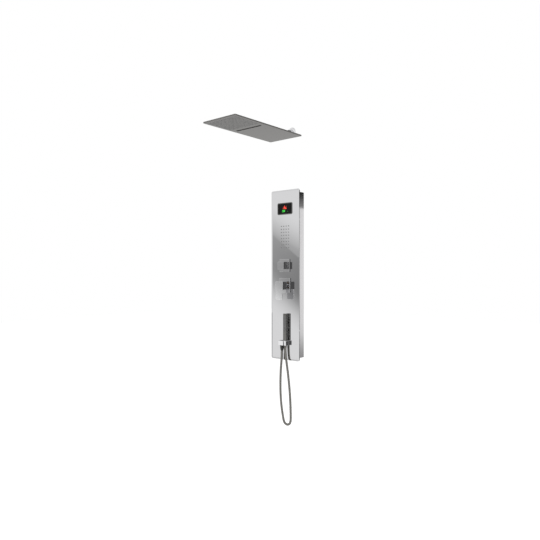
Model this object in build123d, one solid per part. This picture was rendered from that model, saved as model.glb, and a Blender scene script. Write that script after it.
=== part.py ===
from build123d import *
from math import cos, pi, radians, sin, tan
import os

os.makedirs("parts", exist_ok=True)

# Frame: X to the right, Y into the wall, Z up, millimetres.
# The wall is the plane Y = 0, and the origin is the centre of the four wall screws.

# Folded sheet casing
panel_width = 208.0
panel_height = 1000.0
panel_depth = 68.0
sheet = 1.5
lip_depth = 8.6
plate_corner = 10.0
border_width = 9.0
border_depth = 1.5
border_corner = 3.0
case_inset = 16.0
wall_lip = 10.0
fold_play = 0.5
play = 0.2

# Flat sides of the round pieces that are small, repeated or out of sight
nozzle_sides = 6
small_sides = 8
hose_sides = 8
nut_sides = 16
inner_sides = 20
flange_sides = 40

# Screws in the casing's sides
side_screw_from_end = 178.0
side_screw_radius = 1.5
side_screw_length = 7.0
screw_head_radius = 2.9
screw_head_height = 1.6

# Wall brackets and the rails that hang on them
bracket_width = 140.0
bracket_sheet = 2.0
bracket_drop = 25.0
bracket_rise = 15.0
bracket_spacing_x = 100.0
bracket_from_end = 100.0
bracket_hole_radius = 3.25
hook_reach = 10.0
hook_height = 12.0
rail_drop = 16.0

# Temperature display
display_from_top = 110.0
window_width = 102.0
window_height = 60.0
window_corner = 4.0
window_thick = 2.0
bezel_rim = 5.0
bezel_wall = 2.0
bezel_proud = 1.2
window_recess = 0.4
ledge = 2.5
board_gap = 2.0
board_thick = 1.6
display_depth = 20.0
sleeve_length = 7.0
post_radius = 3.0

# Body jets
jets_from_top = 276.0
jet_columns = 4
jet_rows = 8
jet_pitch = 18.0
jet_radius = 3.0
jet_tip_radius = 2.2
jet_proud = 2.2
jet_margin = 12.0
mat_thick = 3.0
chamber_wall = 4.0
chamber_depth = 14.0
chamber_flange = 8.0
chamber_flange_thick = 3.0
stud_radius = 2.0
stud_length = 10.0
stud_end_margin = 18.5
stud_nut_thick = 3.0
stud_nut_flats = 7.0

# Water pipes inside the casing
pipe_radius = 6.0
corner_cut = 12.0
supply_straight = 14.0
pipe_y = -40.0
pipe_side_gap = 7.5
port_flats = 17.0
port_length = 8.0

# Diverter
diverter_from_top = 445.0
diverter_rosette = 74.0
rosette_thick = 6.0
rosette_wall = 1.5
diverter_knob_width = 45.0
diverter_knob_height = 44.0
diverter_knob_reach = 41.6
knob_gap = 1.0
knob_edge = 1.5
knob_hollow = 28.0
knob_hollow_depth = 9.0
spindle_radius = 5.0
spindle_in_knob = 20.0
spindle_in_body = 24.0
running_play = 0.05
diverter_neck_radius = 12.0
diverter_body_radius = 21.0
valve_body_depth = 38.0
ring_nut_thick = 4.0
ring_nut_wall = 6.0
grub_radius = 2.0
grub_length = 8.0

# Mixer
mixer_from_top = 562.0
mixer_rosette = 84.0
mixer_neck_radius = 16.5
mixer_neck_reach = 15.0
mixer_body_radius = 24.0
sleeve_wall = 2.5
sleeve_play = 0.3
cartridge_radius = 12.5
cartridge_depth = 30.0
cartridge_nut_thick = 4.0
bush_radius = 7.5
bush_depth = 16.0
bush_proud = 2.0
stem_width = 6.0
stem_tail = 4.5
stem_reach = 26.0
stem_pin_radius = 1.25
pivot_reach = 10.0
lever_width = 56.0
lever_block_height = 47.0
lever_back_reach = 17.0
lever_front_reach = 56.5
lever_plate_thick = 6.5
lever_plate_drop = 83.5
lever_plate_width = 48.0
lever_corner = 7.0
lever_hollow = 42.6
lever_hollow_depth = 9.0
lever_edge = 1.2
mixer_port_x = 13.0

# Wall connections
inlet_x = 50.0
inlet_from_bottom = 295.0
head_feed_from_top = 45.0
elbow_width = 19.0
tail_radius = 7.5
collar_radius = 9.0
collar_thick = 2.0
union_length = 22.0
union_thread_radius = 9.3
union_thread_length = 11.0
union_flats = 27.0

# Outlet block with the hand shower's cradle
holder_from_bottom = 100.5
holder_width = 58.0
holder_height = 27.0
holder_depth = 28.0
holder_edge = 1.5
hose_reach = 15.0
outlet_x = -11.0
cradle_x = 15.0
cradle_slot = 14.6
cradle_play = 0.3
shank_radius = 9.5
shank_length = 18.0
shank_nut_flats = 26.0
shank_nut_thick = 6.0
washer_thick = 1.5
washer_wall = 4.0
peg_radius = 2.5
peg_length = 2.5

# Hose and its nuts
hose_radius = 7.0
nut_large_radius = 11.0
nut_small_radius = 8.2
nut_length = 29.0
nut_thread_radius = 7.3
nut_thread_length = 14.0

# Hand shower
bar_width = 24.0
bar_depth = 16.0
bar_corner = 3.0
bar_length = 157.5
bar_gap = 1.5
bar_cap_height = 5.0
bar_cap_edge = 1.2
spray_width = 17.0
spray_length = 92.0
spray_top_gap = 12.0
spray_recess = 1.6
spray_columns = 3
spray_rows = 12
spray_pitch = 5.0
spray_row_pitch = 7.2
spray_nozzle_radius = 1.1
spray_nozzle_height = 1.2

# Rain head
head_width = 235.0
head_length = 550.0
head_thick = 7.0
head_wall = 1.2
head_play = 0.2
head_z = 800.0
head_wall_gap = 60.0
head_corner = 3.0
underside_thick = 1.5
rain_columns = 16
rain_rows = 15
rain_pitch = 12.5
rain_nozzle_radius = 2.0
rain_nozzle_height = 1.4
rain_end_margin = 24.0
waterfall_width = 175.0
waterfall_mouth = 9.0
waterfall_from_wall = 383.0
waterfall_lip_wall = 1.2
waterfall_lip_proud = 1.0

# Wall arm of the rain head
arm_radius = 11.0
arm_wall = 1.5
arm_z = 853.0
arm_straight = 14.0
arm_drop_angle = 24.0
arm_corner_cut = 4.0
arm_inlet_from_wall = 80.0
arm_thread_radius = 10.48
arm_thread_length = 14.0
arm_nut_from_wall = 31.0
arm_nut_length = 17.0
arm_nut_wall = 2.6
flange_radius = 28.0
flange_thick = 9.0
flange_edge = 5.4
boss_radius = 15.0
boss_height = 8.0

# Sensor and its cable
cable_radius = 1.5
cable_lane_gap = 15.0
cable_forward = 12.0
cable_drop = 28.0
cable_inset = 10.0
cable_run = 21.0
sensor_radius = 4.0
sensor_length = 14.0

# Places worked out from the sizes above
front_y = -panel_depth
plate_inner_y = front_y + sheet
lip_back_y = front_y + lip_depth
flange_front_y = lip_back_y - sheet
half_width = panel_width / 2
half_height = panel_height / 2
case_x = half_width - case_inset
case_z = half_height - case_inset
side_screw_z = half_height - side_screw_from_end
bracket_z = half_height - bracket_from_end
display_z = half_height - display_from_top
jet_z = half_height - jets_from_top
diverter_z = half_height - diverter_from_top
mixer_z = half_height - mixer_from_top
inlet_z = inlet_from_bottom - half_height
head_feed_z = half_height - head_feed_from_top
holder_z = holder_from_bottom - half_height
pipe_lane = case_x - sheet - pipe_side_gap - pipe_radius
cable_lane = pipe_lane - cable_lane_gap
diverter_reach = diverter_body_radius + port_length
mixer_reach = mixer_body_radius + port_length
elbow_reach = elbow_width / 2 + port_length
hose_y = front_y - hose_reach
holder_top = holder_z + holder_height / 2
holder_bottom = holder_z - holder_height / 2
pivot_y = front_y - pivot_reach
lever_back_y = front_y - lever_back_reach
sleeve_radius = mixer_neck_radius + sleeve_play + sleeve_wall
head_wall_y = -head_wall_gap
head_top = head_z + head_thick
head_mid_y = head_wall_y - head_length / 2
bar_top_z = holder_top + bar_gap + bar_length

# The hose's route in the plane in front of the panel, chosen along the hose:
# X, and the drop below the outlet block
hose_route = [
    (outlet_x, nut_length),
    (outlet_x, 67.0),
    (-19.0, 137.0),
    (-22.5, 227.0),
    (-20.0, 309.0),
    (-12.0, 372.0),
    (-3.0, 415.0),
    (6.0, 453.0),
    (32.3, 462.6),
    (55.0, 446.0),
    (55.5, 393.0),
    (51.5, 299.0),
    (41.0, 202.0),
    (28.0, 117.0),
    (cradle_x, 47.0),
    (cradle_x, cradle_play),
]


def span(x0, x1, y0, y1, z0, z1):
    """A block between two corners."""
    middle = Pos((x0 + x1) / 2, (y0 + y1) / 2, (z0 + z1) / 2)
    return middle * Box(abs(x1 - x0), abs(y1 - y0), abs(z1 - z0))


def slab(width, height, corner, y0, y1, x=0.0, z=0.0):
    """A block with rounded corners in the front view, from y0 back to y1."""
    outline = Plane.XZ * RectangleRounded(width, height, corner)
    return Pos(x, y0, z) * extrude(outline, amount=-(y1 - y0))


def rod_y(radius, y0, y1, x=0.0, z=0.0):
    """A round bar along Y, from y0 back to y1."""
    return Pos(x, y0, z) * extrude(Plane.XZ * Circle(radius), amount=-(y1 - y0))


def rod_z(radius, z0, z1, x=0.0, y=0.0):
    """A round bar along Z, from z0 up to z1."""
    return Pos(x, y, z0) * extrude(Circle(radius), amount=z1 - z0)


def rod_x(radius, x0, x1, y=0.0, z=0.0):
    """A round bar along X, from x0 to x1."""
    return Pos(x0, y, z) * extrude(Plane.YZ * Circle(radius), amount=x1 - x0)


def prism_y(radius, sides, y0, y1, x=0.0, z=0.0):
    """A bar along Y with flat sides, whose edges lie on the radius."""
    outline = Plane.XZ * RegularPolygon(radius, sides)
    return Pos(x, y0, z) * extrude(outline, amount=-(y1 - y0))


def bore_y(radius, y0, y1, x=0.0, z=0.0):
    """A bore with flat sides that just clears a round bar of the radius."""
    return prism_y(radius / cos(pi / inner_sides), inner_sides, y0, y1, x, z)


def tapered(plane, sides, radius, end_radius, length):
    """A closed bar with flat sides whose radius changes along its length."""
    turns = [2 * pi * step / sides for step in range(sides)]
    start, end = [
        [plane.from_local_coords((reach * cos(turn), reach * sin(turn), height)) for turn in turns]
        for reach, height in ((radius, 0.0), (end_radius, length))
    ]
    rings = [start, end]
    rings += [[start[k - 1], start[k], end[k], end[k - 1]] for k in range(sides)]
    return Solid(Shell([Face(Wire.make_polygon(ring)) for ring in rings]))


def hex_bar(flats, start, direction, length):
    """A hexagonal bar from a place along a direction."""
    outline = Plane(origin=start, z_dir=direction) * RegularPolygon(flats / 2, 6, major_radius=False)
    return extrude(outline, amount=length)


def hex_y(flats, y0, y1, x=0.0, z=0.0):
    """A hexagonal bar along Y."""
    return hex_bar(flats, (x, y0, z), (0, 1, 0), y1 - y0)


def tube(section, path, corner=Transition.TRANSFORMED):
    """A section carried along a path."""
    start = Plane(origin=path @ 0, z_dir=path % 0)
    return sweep(start * section, path, transition=corner)


def bar_along(points, radius, cut):
    """A round bar in straight mitred runs, each inner corner taken by a short slanted run."""
    places = [Vector(*point) for point in points]
    route = [places[0]]
    for before, corner, after in zip(places, places[1:], places[2:]):
        route.append(corner + (before - corner).normalized() * cut)
        route.append(corner + (after - corner).normalized() * cut)
    route.append(places[-1])
    return bar_through(route, radius)


def bar_through(route, radius):
    """A round bar in straight mitred runs through the given places."""
    return tube(RegularPolygon(radius, inner_sides), Polyline(*route), Transition.RIGHT)


def write(node, *solids):
    """One STEP file for a node, whose separate solids share it."""
    found = [solid for shape in solids for solid in shape.solids()]
    export_step(found[0] if len(found) == 1 else Compound(found), f"parts/{node}.step")


def jet_places():
    """Centres of the body jets, as X and Z."""
    for column in range(jet_columns):
        for row in range(jet_rows):
            x = (column - (jet_columns - 1) / 2) * jet_pitch
            z = jet_z + (row - (jet_rows - 1) / 2) * jet_pitch
            yield x, z


def stud_places():
    """Centres of the studs round the jets' water chamber, as X and Z."""
    reach_x = (chamber_width() + chamber_flange) / 2
    reach_z = chamber_height() / 2 - stud_end_margin
    for side in (-1, 1):
        for step in (-1, 0, 1):
            yield side * reach_x, jet_z + step * reach_z


def mat_width():
    return (jet_columns - 1) * jet_pitch + 2 * jet_margin


def mat_height():
    return (jet_rows - 1) * jet_pitch + 2 * jet_margin


def chamber_width():
    return mat_width() + 2 * chamber_wall


def chamber_height():
    return mat_height() + 2 * chamber_wall


def side_screw_y():
    return (flange_front_y + front_y + border_depth + sheet + fold_play) / 2


def tray(width, height, corner, y_front, y_back):
    """A block with a bevelled border round its front."""
    rim = Plane.XZ * RectangleRounded(width, height, corner)
    inner_width = width - 2 * border_width
    inner_height = height - 2 * border_width
    face = Plane.XZ * RectangleRounded(inner_width, inner_height, border_corner)
    bevel = loft([Pos(0, y_front + border_depth, 0) * rim, Pos(0, y_front, 0) * face], ruled=True)
    return bevel + slab(width, height, corner, y_front + border_depth, y_back)


def front_plate():
    """The polished front: one folded sheet with a returned lip and its cut-outs."""
    plate = tray(panel_width, panel_height, plate_corner, front_y, lip_back_y)
    inner_width = panel_width - 2 * sheet
    inner_height = panel_height - 2 * sheet
    plate -= tray(inner_width, inner_height, plate_corner - sheet, plate_inner_y, lip_back_y)
    holes = [
        slab(
            window_width + 2 * (bezel_wall + play),
            window_height + 2 * (bezel_wall + play),
            window_corner + bezel_wall,
            front_y,
            lip_back_y,
            z=display_z,
        ),
        rod_y(diverter_neck_radius + play, front_y, lip_back_y, z=diverter_z),
        rod_y(mixer_neck_radius + play, front_y, lip_back_y, z=mixer_z),
        rod_y(shank_radius + play, front_y, lip_back_y, outlet_x, holder_z),
        rod_y(peg_radius + play, front_y, lip_back_y, cradle_x, holder_z),
    ]
    hole_radius = jet_radius + play
    holes += [
        prism_y(hole_radius, nozzle_sides, front_y, plate_inner_y, x, z) for x, z in jet_places()
    ]
    for z in (-side_screw_z, side_screw_z):
        for side in (-1, 1):
            start = (side * case_x, side_screw_y(), z)
            holes.append(small_bar(side_screw_radius + play, start, (side, 0, 0), case_inset))
    return plate - holes


def fold(half):
    """The folded edge's parts, as spans outward from the middle and spans in Y."""
    case = half - case_inset
    edge = half - sheet - fold_play
    tip = front_y + border_depth + sheet + fold_play
    web = (case - sheet, case, lip_back_y, 0.0)
    flange = (case - sheet, edge, flange_front_y, lip_back_y)
    turned_edge = (edge - sheet, edge, tip, flange_front_y)
    return web, flange, turned_edge


def side_profile(side):
    """A long folded side of the casing, with a lip along the wall."""
    length = case_z - sheet
    folds = fold(half_width) + ((case_x - wall_lip, case_x - sheet, -sheet, 0.0),)
    body = None
    for x0, x1, y0, y1 in folds:
        piece = span(side * x0, side * x1, y0, y1, -length, length)
        body = piece if body is None else body + piece
    for z in (-side_screw_z, side_screw_z):
        start = (side * case_x, side_screw_y(), z)
        body -= small_bar(side_screw_radius + play / 2, start, (side, 0, 0), case_inset)
    return body


def end_plate(end):
    """The folded top or bottom of the casing, over the ends of the long sides."""
    web, flange, turned_edge = fold(half_height)
    edge_x = half_width - sheet - fold_play
    body = None
    for reach, (z0, z1, y0, y1) in ((case_x, web), (edge_x, flange), (edge_x, turned_edge)):
        piece = span(-reach, reach, y0, y1, end * z0, end * z1)
        body = piece if body is None else body + piece
    inside = 2 * (sheet + fold_play)
    corner = plate_corner - inside / 2
    return body & slab(panel_width - inside, panel_height - inside, corner, front_y, 0)


def side_screw(side, z):
    """A pan-head screw that holds the front plate's lip to the casing."""
    lip = (side * half_width, side_screw_y(), z)
    head = small_bar(screw_head_radius, lip, (side, 0, 0), screw_head_height)
    return head + small_bar(side_screw_radius, lip, (-side, 0, 0), side_screw_length)


def small_bar(radius, start, direction, length):
    """A small bar with few sides from a place along a direction."""
    start_plane = Plane(origin=start, x_dir=(0, 0, 1), z_dir=direction)
    return extrude(start_plane * RegularPolygon(radius, small_sides), amount=length)


def bracket(z):
    """A wall bracket: a drilled plate with a hook along its top."""
    top = z + bracket_rise
    half = bracket_width / 2
    body = span(-half, half, -bracket_sheet, 0, z - bracket_drop, top)
    body += span(-half, half, -hook_reach, 0, top - bracket_sheet, top)
    lip_y = bracket_sheet - hook_reach
    body += span(-half, half, -hook_reach, lip_y, top - bracket_sheet, top + hook_height)
    for x in (-bracket_spacing_x / 2, bracket_spacing_x / 2):
        body -= rod_y(bracket_hole_radius, -bracket_sheet, 0, x, z)
    return body


def rail(z):
    """A hanging rail between the casing's sides, resting on a bracket's hook."""
    half = case_x - sheet
    rest = z + bracket_rise + hook_height
    front = -hook_reach - play - bracket_sheet
    body = span(-half, half, front, -bracket_sheet, rest, rest + bracket_sheet)
    return body + span(-half, half, front, front + bracket_sheet, rest - rail_drop, rest + bracket_sheet)


def display_bezel():
    """The rim round the window, with a sleeve through the plate and a ledge."""
    outer_w = window_width + 2 * bezel_wall
    outer_h = window_height + 2 * bezel_wall
    rim = slab(
        window_width + 2 * bezel_rim,
        window_height + 2 * bezel_rim,
        window_corner + bezel_rim,
        front_y - bezel_proud,
        front_y,
    )
    sleeve = slab(outer_w, outer_h, window_corner + bezel_wall, front_y, front_y + sleeve_length)
    seat_y = front_y - bezel_proud + window_recess + window_thick
    mouth = slab(
        window_width + play, window_height + play, window_corner, front_y - bezel_proud, seat_y
    )
    half_x = window_width / 2 - ledge
    half_z = window_height / 2 - ledge
    throat = span(-half_x, half_x, seat_y, front_y + sleeve_length, -half_z, half_z)
    return Pos(0, 0, display_z) * (rim + sleeve - mouth - throat)


def display_window():
    y0 = front_y - bezel_proud + window_recess
    return slab(window_width, window_height, window_corner, y0, y0 + window_thick, z=display_z)


def display_board_y():
    return front_y - bezel_proud + window_recess + window_thick + board_gap


def display_board():
    half_x = window_width / 2 - ledge - play
    half_z = window_height / 2 - ledge - play
    y0 = display_board_y()
    return span(-half_x, half_x, y0, y0 + board_thick, display_z - half_z, display_z + half_z)


def display_box():
    """The cup behind the display, with four posts that hold the circuit board."""
    half_x = window_width / 2
    half_z = window_height / 2
    outer_x = half_x + bezel_wall
    outer_z = half_z + bezel_wall
    mouth_y = front_y + sleeve_length
    back_y = front_y + display_depth
    box = span(-outer_x, outer_x, mouth_y, back_y, -outer_z, outer_z)
    box -= span(-half_x, half_x, mouth_y, back_y - bezel_wall, -half_z, half_z)
    board_back = display_board_y() + board_thick
    for x in (-1, 1):
        for z in (-1, 1):
            post_x = x * (half_x - ledge - 2 * post_radius)
            post_z = z * (half_z - ledge - 2 * post_radius)
            box += prism_y(post_radius, small_sides, board_back, back_y - bezel_wall / 2, post_x, post_z)
    return Pos(0, 0, display_z) * box


def jet_mat():
    """The silicone mat behind the plate, one tapered nozzle through each hole."""
    mat = jet_box(mat_width(), mat_height(), plate_inner_y, plate_inner_y + mat_thick)
    nozzle = tapered(Plane.XZ, nozzle_sides, jet_radius, jet_tip_radius, sheet + jet_proud)
    return mat + [Pos(x, plate_inner_y, z) * nozzle for x, z in jet_places()]


def jet_chamber():
    """The water chamber that clamps the mat, open towards the nozzles."""
    y0 = plate_inner_y + mat_thick
    back_y = y0 + chamber_depth
    flange_width = chamber_width() + 2 * chamber_flange
    body = jet_box(chamber_width(), chamber_height(), y0, back_y)
    body += jet_box(flange_width, chamber_height(), y0, y0 + chamber_flange_thick)
    body -= jet_box(mat_width() - chamber_wall, mat_height() - chamber_wall, y0, back_y - chamber_wall)
    for x, z in stud_places():
        body -= prism_y(stud_radius + play, small_sides, y0, back_y, x, z)
    return body + hex_bar(chamber_depth, (0, jet_port_y(), jet_port_z()), (0, 0, 1), port_length)


def jet_box(width, height, y0, y1):
    """A block centred on the body jets."""
    return span(-width / 2, width / 2, y0, y1, jet_z - height / 2, jet_z + height / 2)


def jet_port_y():
    return plate_inner_y + mat_thick + chamber_depth / 2


def jet_port_z():
    return jet_z - chamber_height() / 2 - port_length


def jet_stud(x, z):
    """A stud on the plate's back, with the nut that clamps the chamber."""
    seat_y = plate_inner_y + mat_thick + chamber_flange_thick
    stud = prism_y(stud_radius, small_sides, plate_inner_y, plate_inner_y + stud_length, x, z)
    return stud + hex_y(stud_nut_flats, seat_y, seat_y + stud_nut_thick, x, z)


def rosette(width, hole_radius, z):
    """A square cover on the plate, hollow behind, with a round hole."""
    y0 = front_y - rosette_thick
    half = width / 2
    body = span(-half, half, y0, front_y, z - half, z + half)
    body = chamfer(body.faces().sort_by(Axis.Y)[0].edges(), rosette_wall / 2)
    inner = half - rosette_wall
    body -= span(-inner, inner, y0 + rosette_wall, front_y, z - inner, z + inner)
    return body - rod_y(hole_radius, y0, front_y, z=z)


def ring_nut(neck_radius, z):
    """The ring nut that clamps a valve's neck to the plate."""
    y0 = front_y - ring_nut_thick
    return hex_y(2 * (neck_radius + ring_nut_wall), y0, front_y, z=z) - bore_y(neck_radius, y0, front_y, z=z)


def diverter_body():
    """The valve body behind the plate: one port down, three ports out."""
    body = prism_y(diverter_body_radius, small_sides, plate_inner_y, plate_inner_y + valve_body_depth)
    body += rod_y(diverter_neck_radius, front_y - ring_nut_thick, plate_inner_y)
    for x, z in ((1, 0), (-1, 0), (0, 1), (0, -1)):
        body += hex_bar(port_flats, (0, pipe_y, 0), (x, 0, z), diverter_reach)
    body -= rod_y(spindle_radius + running_play, front_y - ring_nut_thick, front_y + spindle_in_body)
    return Pos(0, 0, diverter_z) * body


def diverter_spindle():
    front_end = front_y - rosette_thick - knob_gap - spindle_in_knob
    return rod_y(spindle_radius, front_end, front_y + spindle_in_body - play, z=diverter_z)


def soft_block(width, height, y0, y1, edge):
    """A block whose edges are all slightly bevelled."""
    block = Pos(0, (y0 + y1) / 2, 0) * Box(width, y1 - y0, height)
    return chamfer(block.edges(), edge)


def diverter_knob():
    """The square knob, hollow behind, with a hub on the spindle."""
    y0 = front_y - diverter_knob_reach
    y1 = front_y - rosette_thick - knob_gap
    knob = soft_block(diverter_knob_width, diverter_knob_height, y0, y1, knob_edge)
    knob -= Pos(0, y1 - knob_hollow_depth / 2, 0) * Box(knob_hollow, knob_hollow_depth, knob_hollow)
    knob -= rod_y(spindle_radius + running_play, y1 - spindle_in_knob, y1)
    knob -= grub_hole(diverter_knob_height, knob_grub_y())
    return Pos(0, 0, diverter_z) * knob


def knob_grub_y():
    return front_y - rosette_thick - knob_gap - (knob_hollow_depth + spindle_in_knob) / 2


def knob_grub():
    return grub(diverter_z - spindle_radius - running_play, knob_grub_y())


def grub(tip, y):
    """A grub screw from below, with its tip at a height."""
    return hex_bar(2 * grub_radius, (0, y, tip), (0, 0, -1), grub_length)


def grub_hole(height, y):
    """The hole for a grub screw, from the underside up to the middle of a part."""
    return hex_bar(2 * grub_radius + play, (0, y, 0), (0, 0, -1), height / 2)


def mixer_body():
    """The mixer's valve body, with its neck through the plate and three ports."""
    front_end = front_y - mixer_neck_reach
    body = prism_y(mixer_body_radius, small_sides, plate_inner_y, plate_inner_y + valve_body_depth)
    body += rod_y(mixer_neck_radius, front_end, plate_inner_y)
    for x, up in ((0.0, 1), (-mixer_port_x, -1), (mixer_port_x, -1)):
        body += hex_bar(port_flats, (x, pipe_y, 0), (0, 0, up), mixer_reach)
    body -= prism_y(cartridge_radius + play / 2, inner_sides, front_end, cartridge_back_y())
    return Pos(0, 0, mixer_z) * body


def cartridge_front_y():
    return front_y - mixer_neck_reach + cartridge_nut_thick


def cartridge_back_y():
    return cartridge_front_y() + cartridge_depth


def cartridge():
    """The ceramic cartridge's case, bored for the turning bush."""
    front_end = cartridge_front_y()
    case = prism_y(cartridge_radius, inner_sides, front_end, cartridge_back_y(), z=mixer_z)
    return case - rod_y(bush_radius + running_play, front_end, bush_back_y(), z=mixer_z)


def bush_front_y():
    return front_y - mixer_neck_reach - bush_proud


def bush_back_y():
    return bush_front_y() + bush_depth


def cartridge_nut():
    front_end = front_y - mixer_neck_reach
    back_end = cartridge_front_y()
    ring = prism_y(cartridge_radius, inner_sides, front_end, back_end, z=mixer_z)
    return ring - prism_y(bush_radius + 2 * play, inner_sides, front_end, back_end, z=mixer_z)


def cartridge_bush():
    """The bush that turns for temperature, forked to hold the stem's pin."""
    bush = rod_y(bush_radius, bush_front_y(), bush_back_y() - play)
    slot = stem_width / 2 + running_play
    slot_back_y = pivot_y + stem_tail + stem_width / 2
    bush -= span(-slot, slot, bush_front_y(), slot_back_y, -bush_radius, bush_radius)
    bush -= rod_x(stem_pin_radius, -bush_radius, bush_radius, pivot_y, 0)
    return Pos(0, 0, mixer_z) * bush


def stem_pin():
    reach = bush_radius - stem_pin_radius
    return rod_x(stem_pin_radius, -reach, reach, pivot_y, mixer_z)


def lever_stem():
    """The stem that tilts on its pin and carries the lever."""
    half = stem_width / 2
    stem = span(-half, half, pivot_y - stem_reach, pivot_y + stem_tail, -half, half)
    stem -= rod_x(stem_pin_radius + running_play, -half, half, pivot_y, 0)
    return Pos(0, 0, mixer_z) * stem


def lever_handle():
    """The square lever: a hollow block with a flat plate hanging over its front."""
    plate_front = front_y - lever_front_reach
    plate_back = plate_front + lever_plate_thick
    block = soft_block(lever_width, lever_block_height, plate_front, lever_back_y, lever_edge)
    top = lever_block_height / 2
    drop = top + lever_plate_drop
    outline = Plane.XZ * RectangleRounded(lever_plate_width, drop, lever_corner)
    lever = block + Pos(0, plate_back, top - drop / 2) * extrude(outline, amount=lever_plate_thick)
    hollow_middle = Pos(0, lever_back_y - lever_hollow_depth / 2, 0)
    lever -= hollow_middle * Box(lever_hollow, lever_hollow_depth, lever_hollow)
    half = stem_width / 2 + running_play
    lever -= span(-half, half, pivot_y - stem_reach, lever_back_y, -half, half)
    lever -= grub_hole(lever_block_height, lever_grub_y())
    return Pos(0, 0, mixer_z) * lever


def lever_grub_y():
    return (pivot_y - stem_reach + lever_back_y - lever_hollow_depth) / 2


def lever_grub():
    return grub(mixer_z - stem_width / 2 - running_play, lever_grub_y())


def mixer_sleeve():
    """The round sleeve over the mixer's neck."""
    y0 = front_y - mixer_neck_reach
    y1 = front_y - ring_nut_thick
    sleeve = rod_y(sleeve_radius, y0, y1, z=mixer_z)
    return sleeve - bore_y(mixer_neck_radius + sleeve_play, y0, y1, z=mixer_z)


def pipe(*points):
    """An inner water pipe through the given places."""
    return bar_along(points, pipe_radius, corner_cut)


def wall_elbow(x, z, into):
    """A square elbow with a round tail at the wall, and its pipe's port up or to the left."""
    half = elbow_width / 2
    body = span(x - half, x + half, pipe_y - half, -union_length - play, z - half, z + half)
    seat = -union_thread_length - collar_thick
    body += prism_y(tail_radius, inner_sides, -union_length - play, -union_thread_length, x, z)
    body += prism_y(collar_radius, inner_sides, seat, -union_thread_length, x, z)
    if into == "up":
        return body + hex_bar(port_flats, (x, pipe_y, z + half), (0, 0, 1), port_length)
    return body + hex_bar(port_flats, (x - half, pipe_y, z), (-1, 0, 0), port_length)


def union_nut(x, z):
    """The loose nut on an elbow's tail, threaded for a half-inch wall fitting."""
    seat = -union_thread_length - collar_thick
    nut = hex_y(union_flats, -union_length, 0, x, z)
    nut -= prism_y(tail_radius + play, inner_sides, -union_length, seat, x, z)
    nut -= prism_y(collar_radius + play, inner_sides, seat, -union_thread_length, x, z)
    return nut - rod_y(union_thread_radius, -union_thread_length, 0, x, z)


def cone_radius(z):
    """The upper hose nut's radius at a height, a straight taper down the cradle."""
    share = (holder_top - z) / holder_height
    return nut_large_radius + (nut_small_radius - nut_large_radius) * share


def holder_block():
    """Water outlet and cradle in one block, with a tapered seat open to the front."""
    y0 = front_y - holder_depth
    block = Pos(0, 0, holder_z) * soft_block(holder_width, holder_height, y0, front_y, holder_edge)
    block += rod_y(shank_radius, front_y, front_y + shank_length, outlet_x, holder_z)
    spigot_end = holder_bottom - nut_thread_length
    block += prism_z(nut_thread_radius, spigot_end, holder_z, outlet_x)
    block -= taper_bar(cradle_play, holder_bottom, holder_top, cradle_x)
    half = cradle_slot / 2
    block -= span(cradle_x - half, cradle_x + half, y0, hose_y, holder_bottom, holder_top)
    return block + rod_y(peg_radius, front_y, front_y + peg_length, cradle_x, holder_z)


def holder_washer():
    y0 = plate_inner_y
    y1 = y0 + washer_thick
    ring = prism_y(shank_radius + washer_wall, inner_sides, y0, y1, outlet_x, holder_z)
    return ring - bore_y(shank_radius + play, y0, y1, outlet_x, holder_z)


def holder_nut():
    y0 = plate_inner_y + washer_thick
    nut = hex_y(shank_nut_flats, y0, y0 + shank_nut_thick, outlet_x, holder_z)
    return nut - bore_y(shank_radius, y0, y0 + shank_nut_thick, outlet_x, holder_z)


def holder_elbow():
    """The square elbow on the shank's end, with its pipe's port to the right."""
    half = elbow_width / 2
    low_y = front_y + shank_length
    body = span(outlet_x - half, outlet_x + half, low_y, pipe_y + half, holder_z - half, holder_z + half)
    return body + hex_bar(port_flats, (outlet_x + half, pipe_y, holder_z), (1, 0, 0), port_length)


def prism_z(radius, z0, z1, x):
    """An upright bar with flat sides in front of the panel."""
    return Pos(x, hose_y, z0) * extrude(RegularPolygon(radius, nut_sides), amount=z1 - z0)


def taper_bar(margin, z0, z1, x):
    """A bar with flat sides along the taper of the hose's upper nut, grown by a margin."""
    low = Plane(origin=(x, hose_y, z0), x_dir=(1, 0, 0), z_dir=(0, 0, 1))
    return tapered(low, nut_sides, cone_radius(z0) + margin, cone_radius(z1) + margin, z1 - z0)


def outlet_nut():
    """The nut that screws the hose to the outlet, wide end up."""
    low = Plane(origin=(outlet_x, hose_y, holder_bottom - nut_length), x_dir=(1, 0, 0), z_dir=(0, 0, 1))
    nut = tapered(low, nut_sides, nut_small_radius, nut_large_radius, nut_length)
    return nut - prism_z(nut_thread_radius, holder_bottom - nut_thread_length, holder_bottom, outlet_x)


def handset_nut():
    """The nut on the hand shower's tail, which sits in the cradle."""
    high = bar_bottom()
    nut = taper_bar(0.0, holder_bottom - cradle_play, high, cradle_x)
    return nut - prism_z(nut_thread_radius, high - nut_thread_length, high, cradle_x)


def hose():
    """The hose from the outlet's nut round to the hand shower's nut."""
    points = [(x, hose_y, holder_bottom - drop) for x, drop in hose_route]
    radii = bend_radii(points)
    print("hose bend radii", [round(radius) for radius in radii])
    path = FilletPolyline(*points, radius=radii)
    section = RegularPolygon(hose_radius, hose_sides)
    body = tube(section, path)
    share = body.volume / (section.area * path.length)
    print("hose length", round(path.length), "volume over section times length", round(share, 4))
    return body


def bend_radii(points):
    """Each corner's arc, as large as its two runs allow."""
    radii = []
    for before, corner, after in zip(points, points[1:], points[2:]):
        run_in = Vector(*corner) - Vector(*before)
        run_out = Vector(*after) - Vector(*corner)
        turn = radians(run_in.get_angle(run_out))
        radii.append(0.45 * min(run_in.length, run_out.length) / tan(turn / 2))
    return radii


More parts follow.
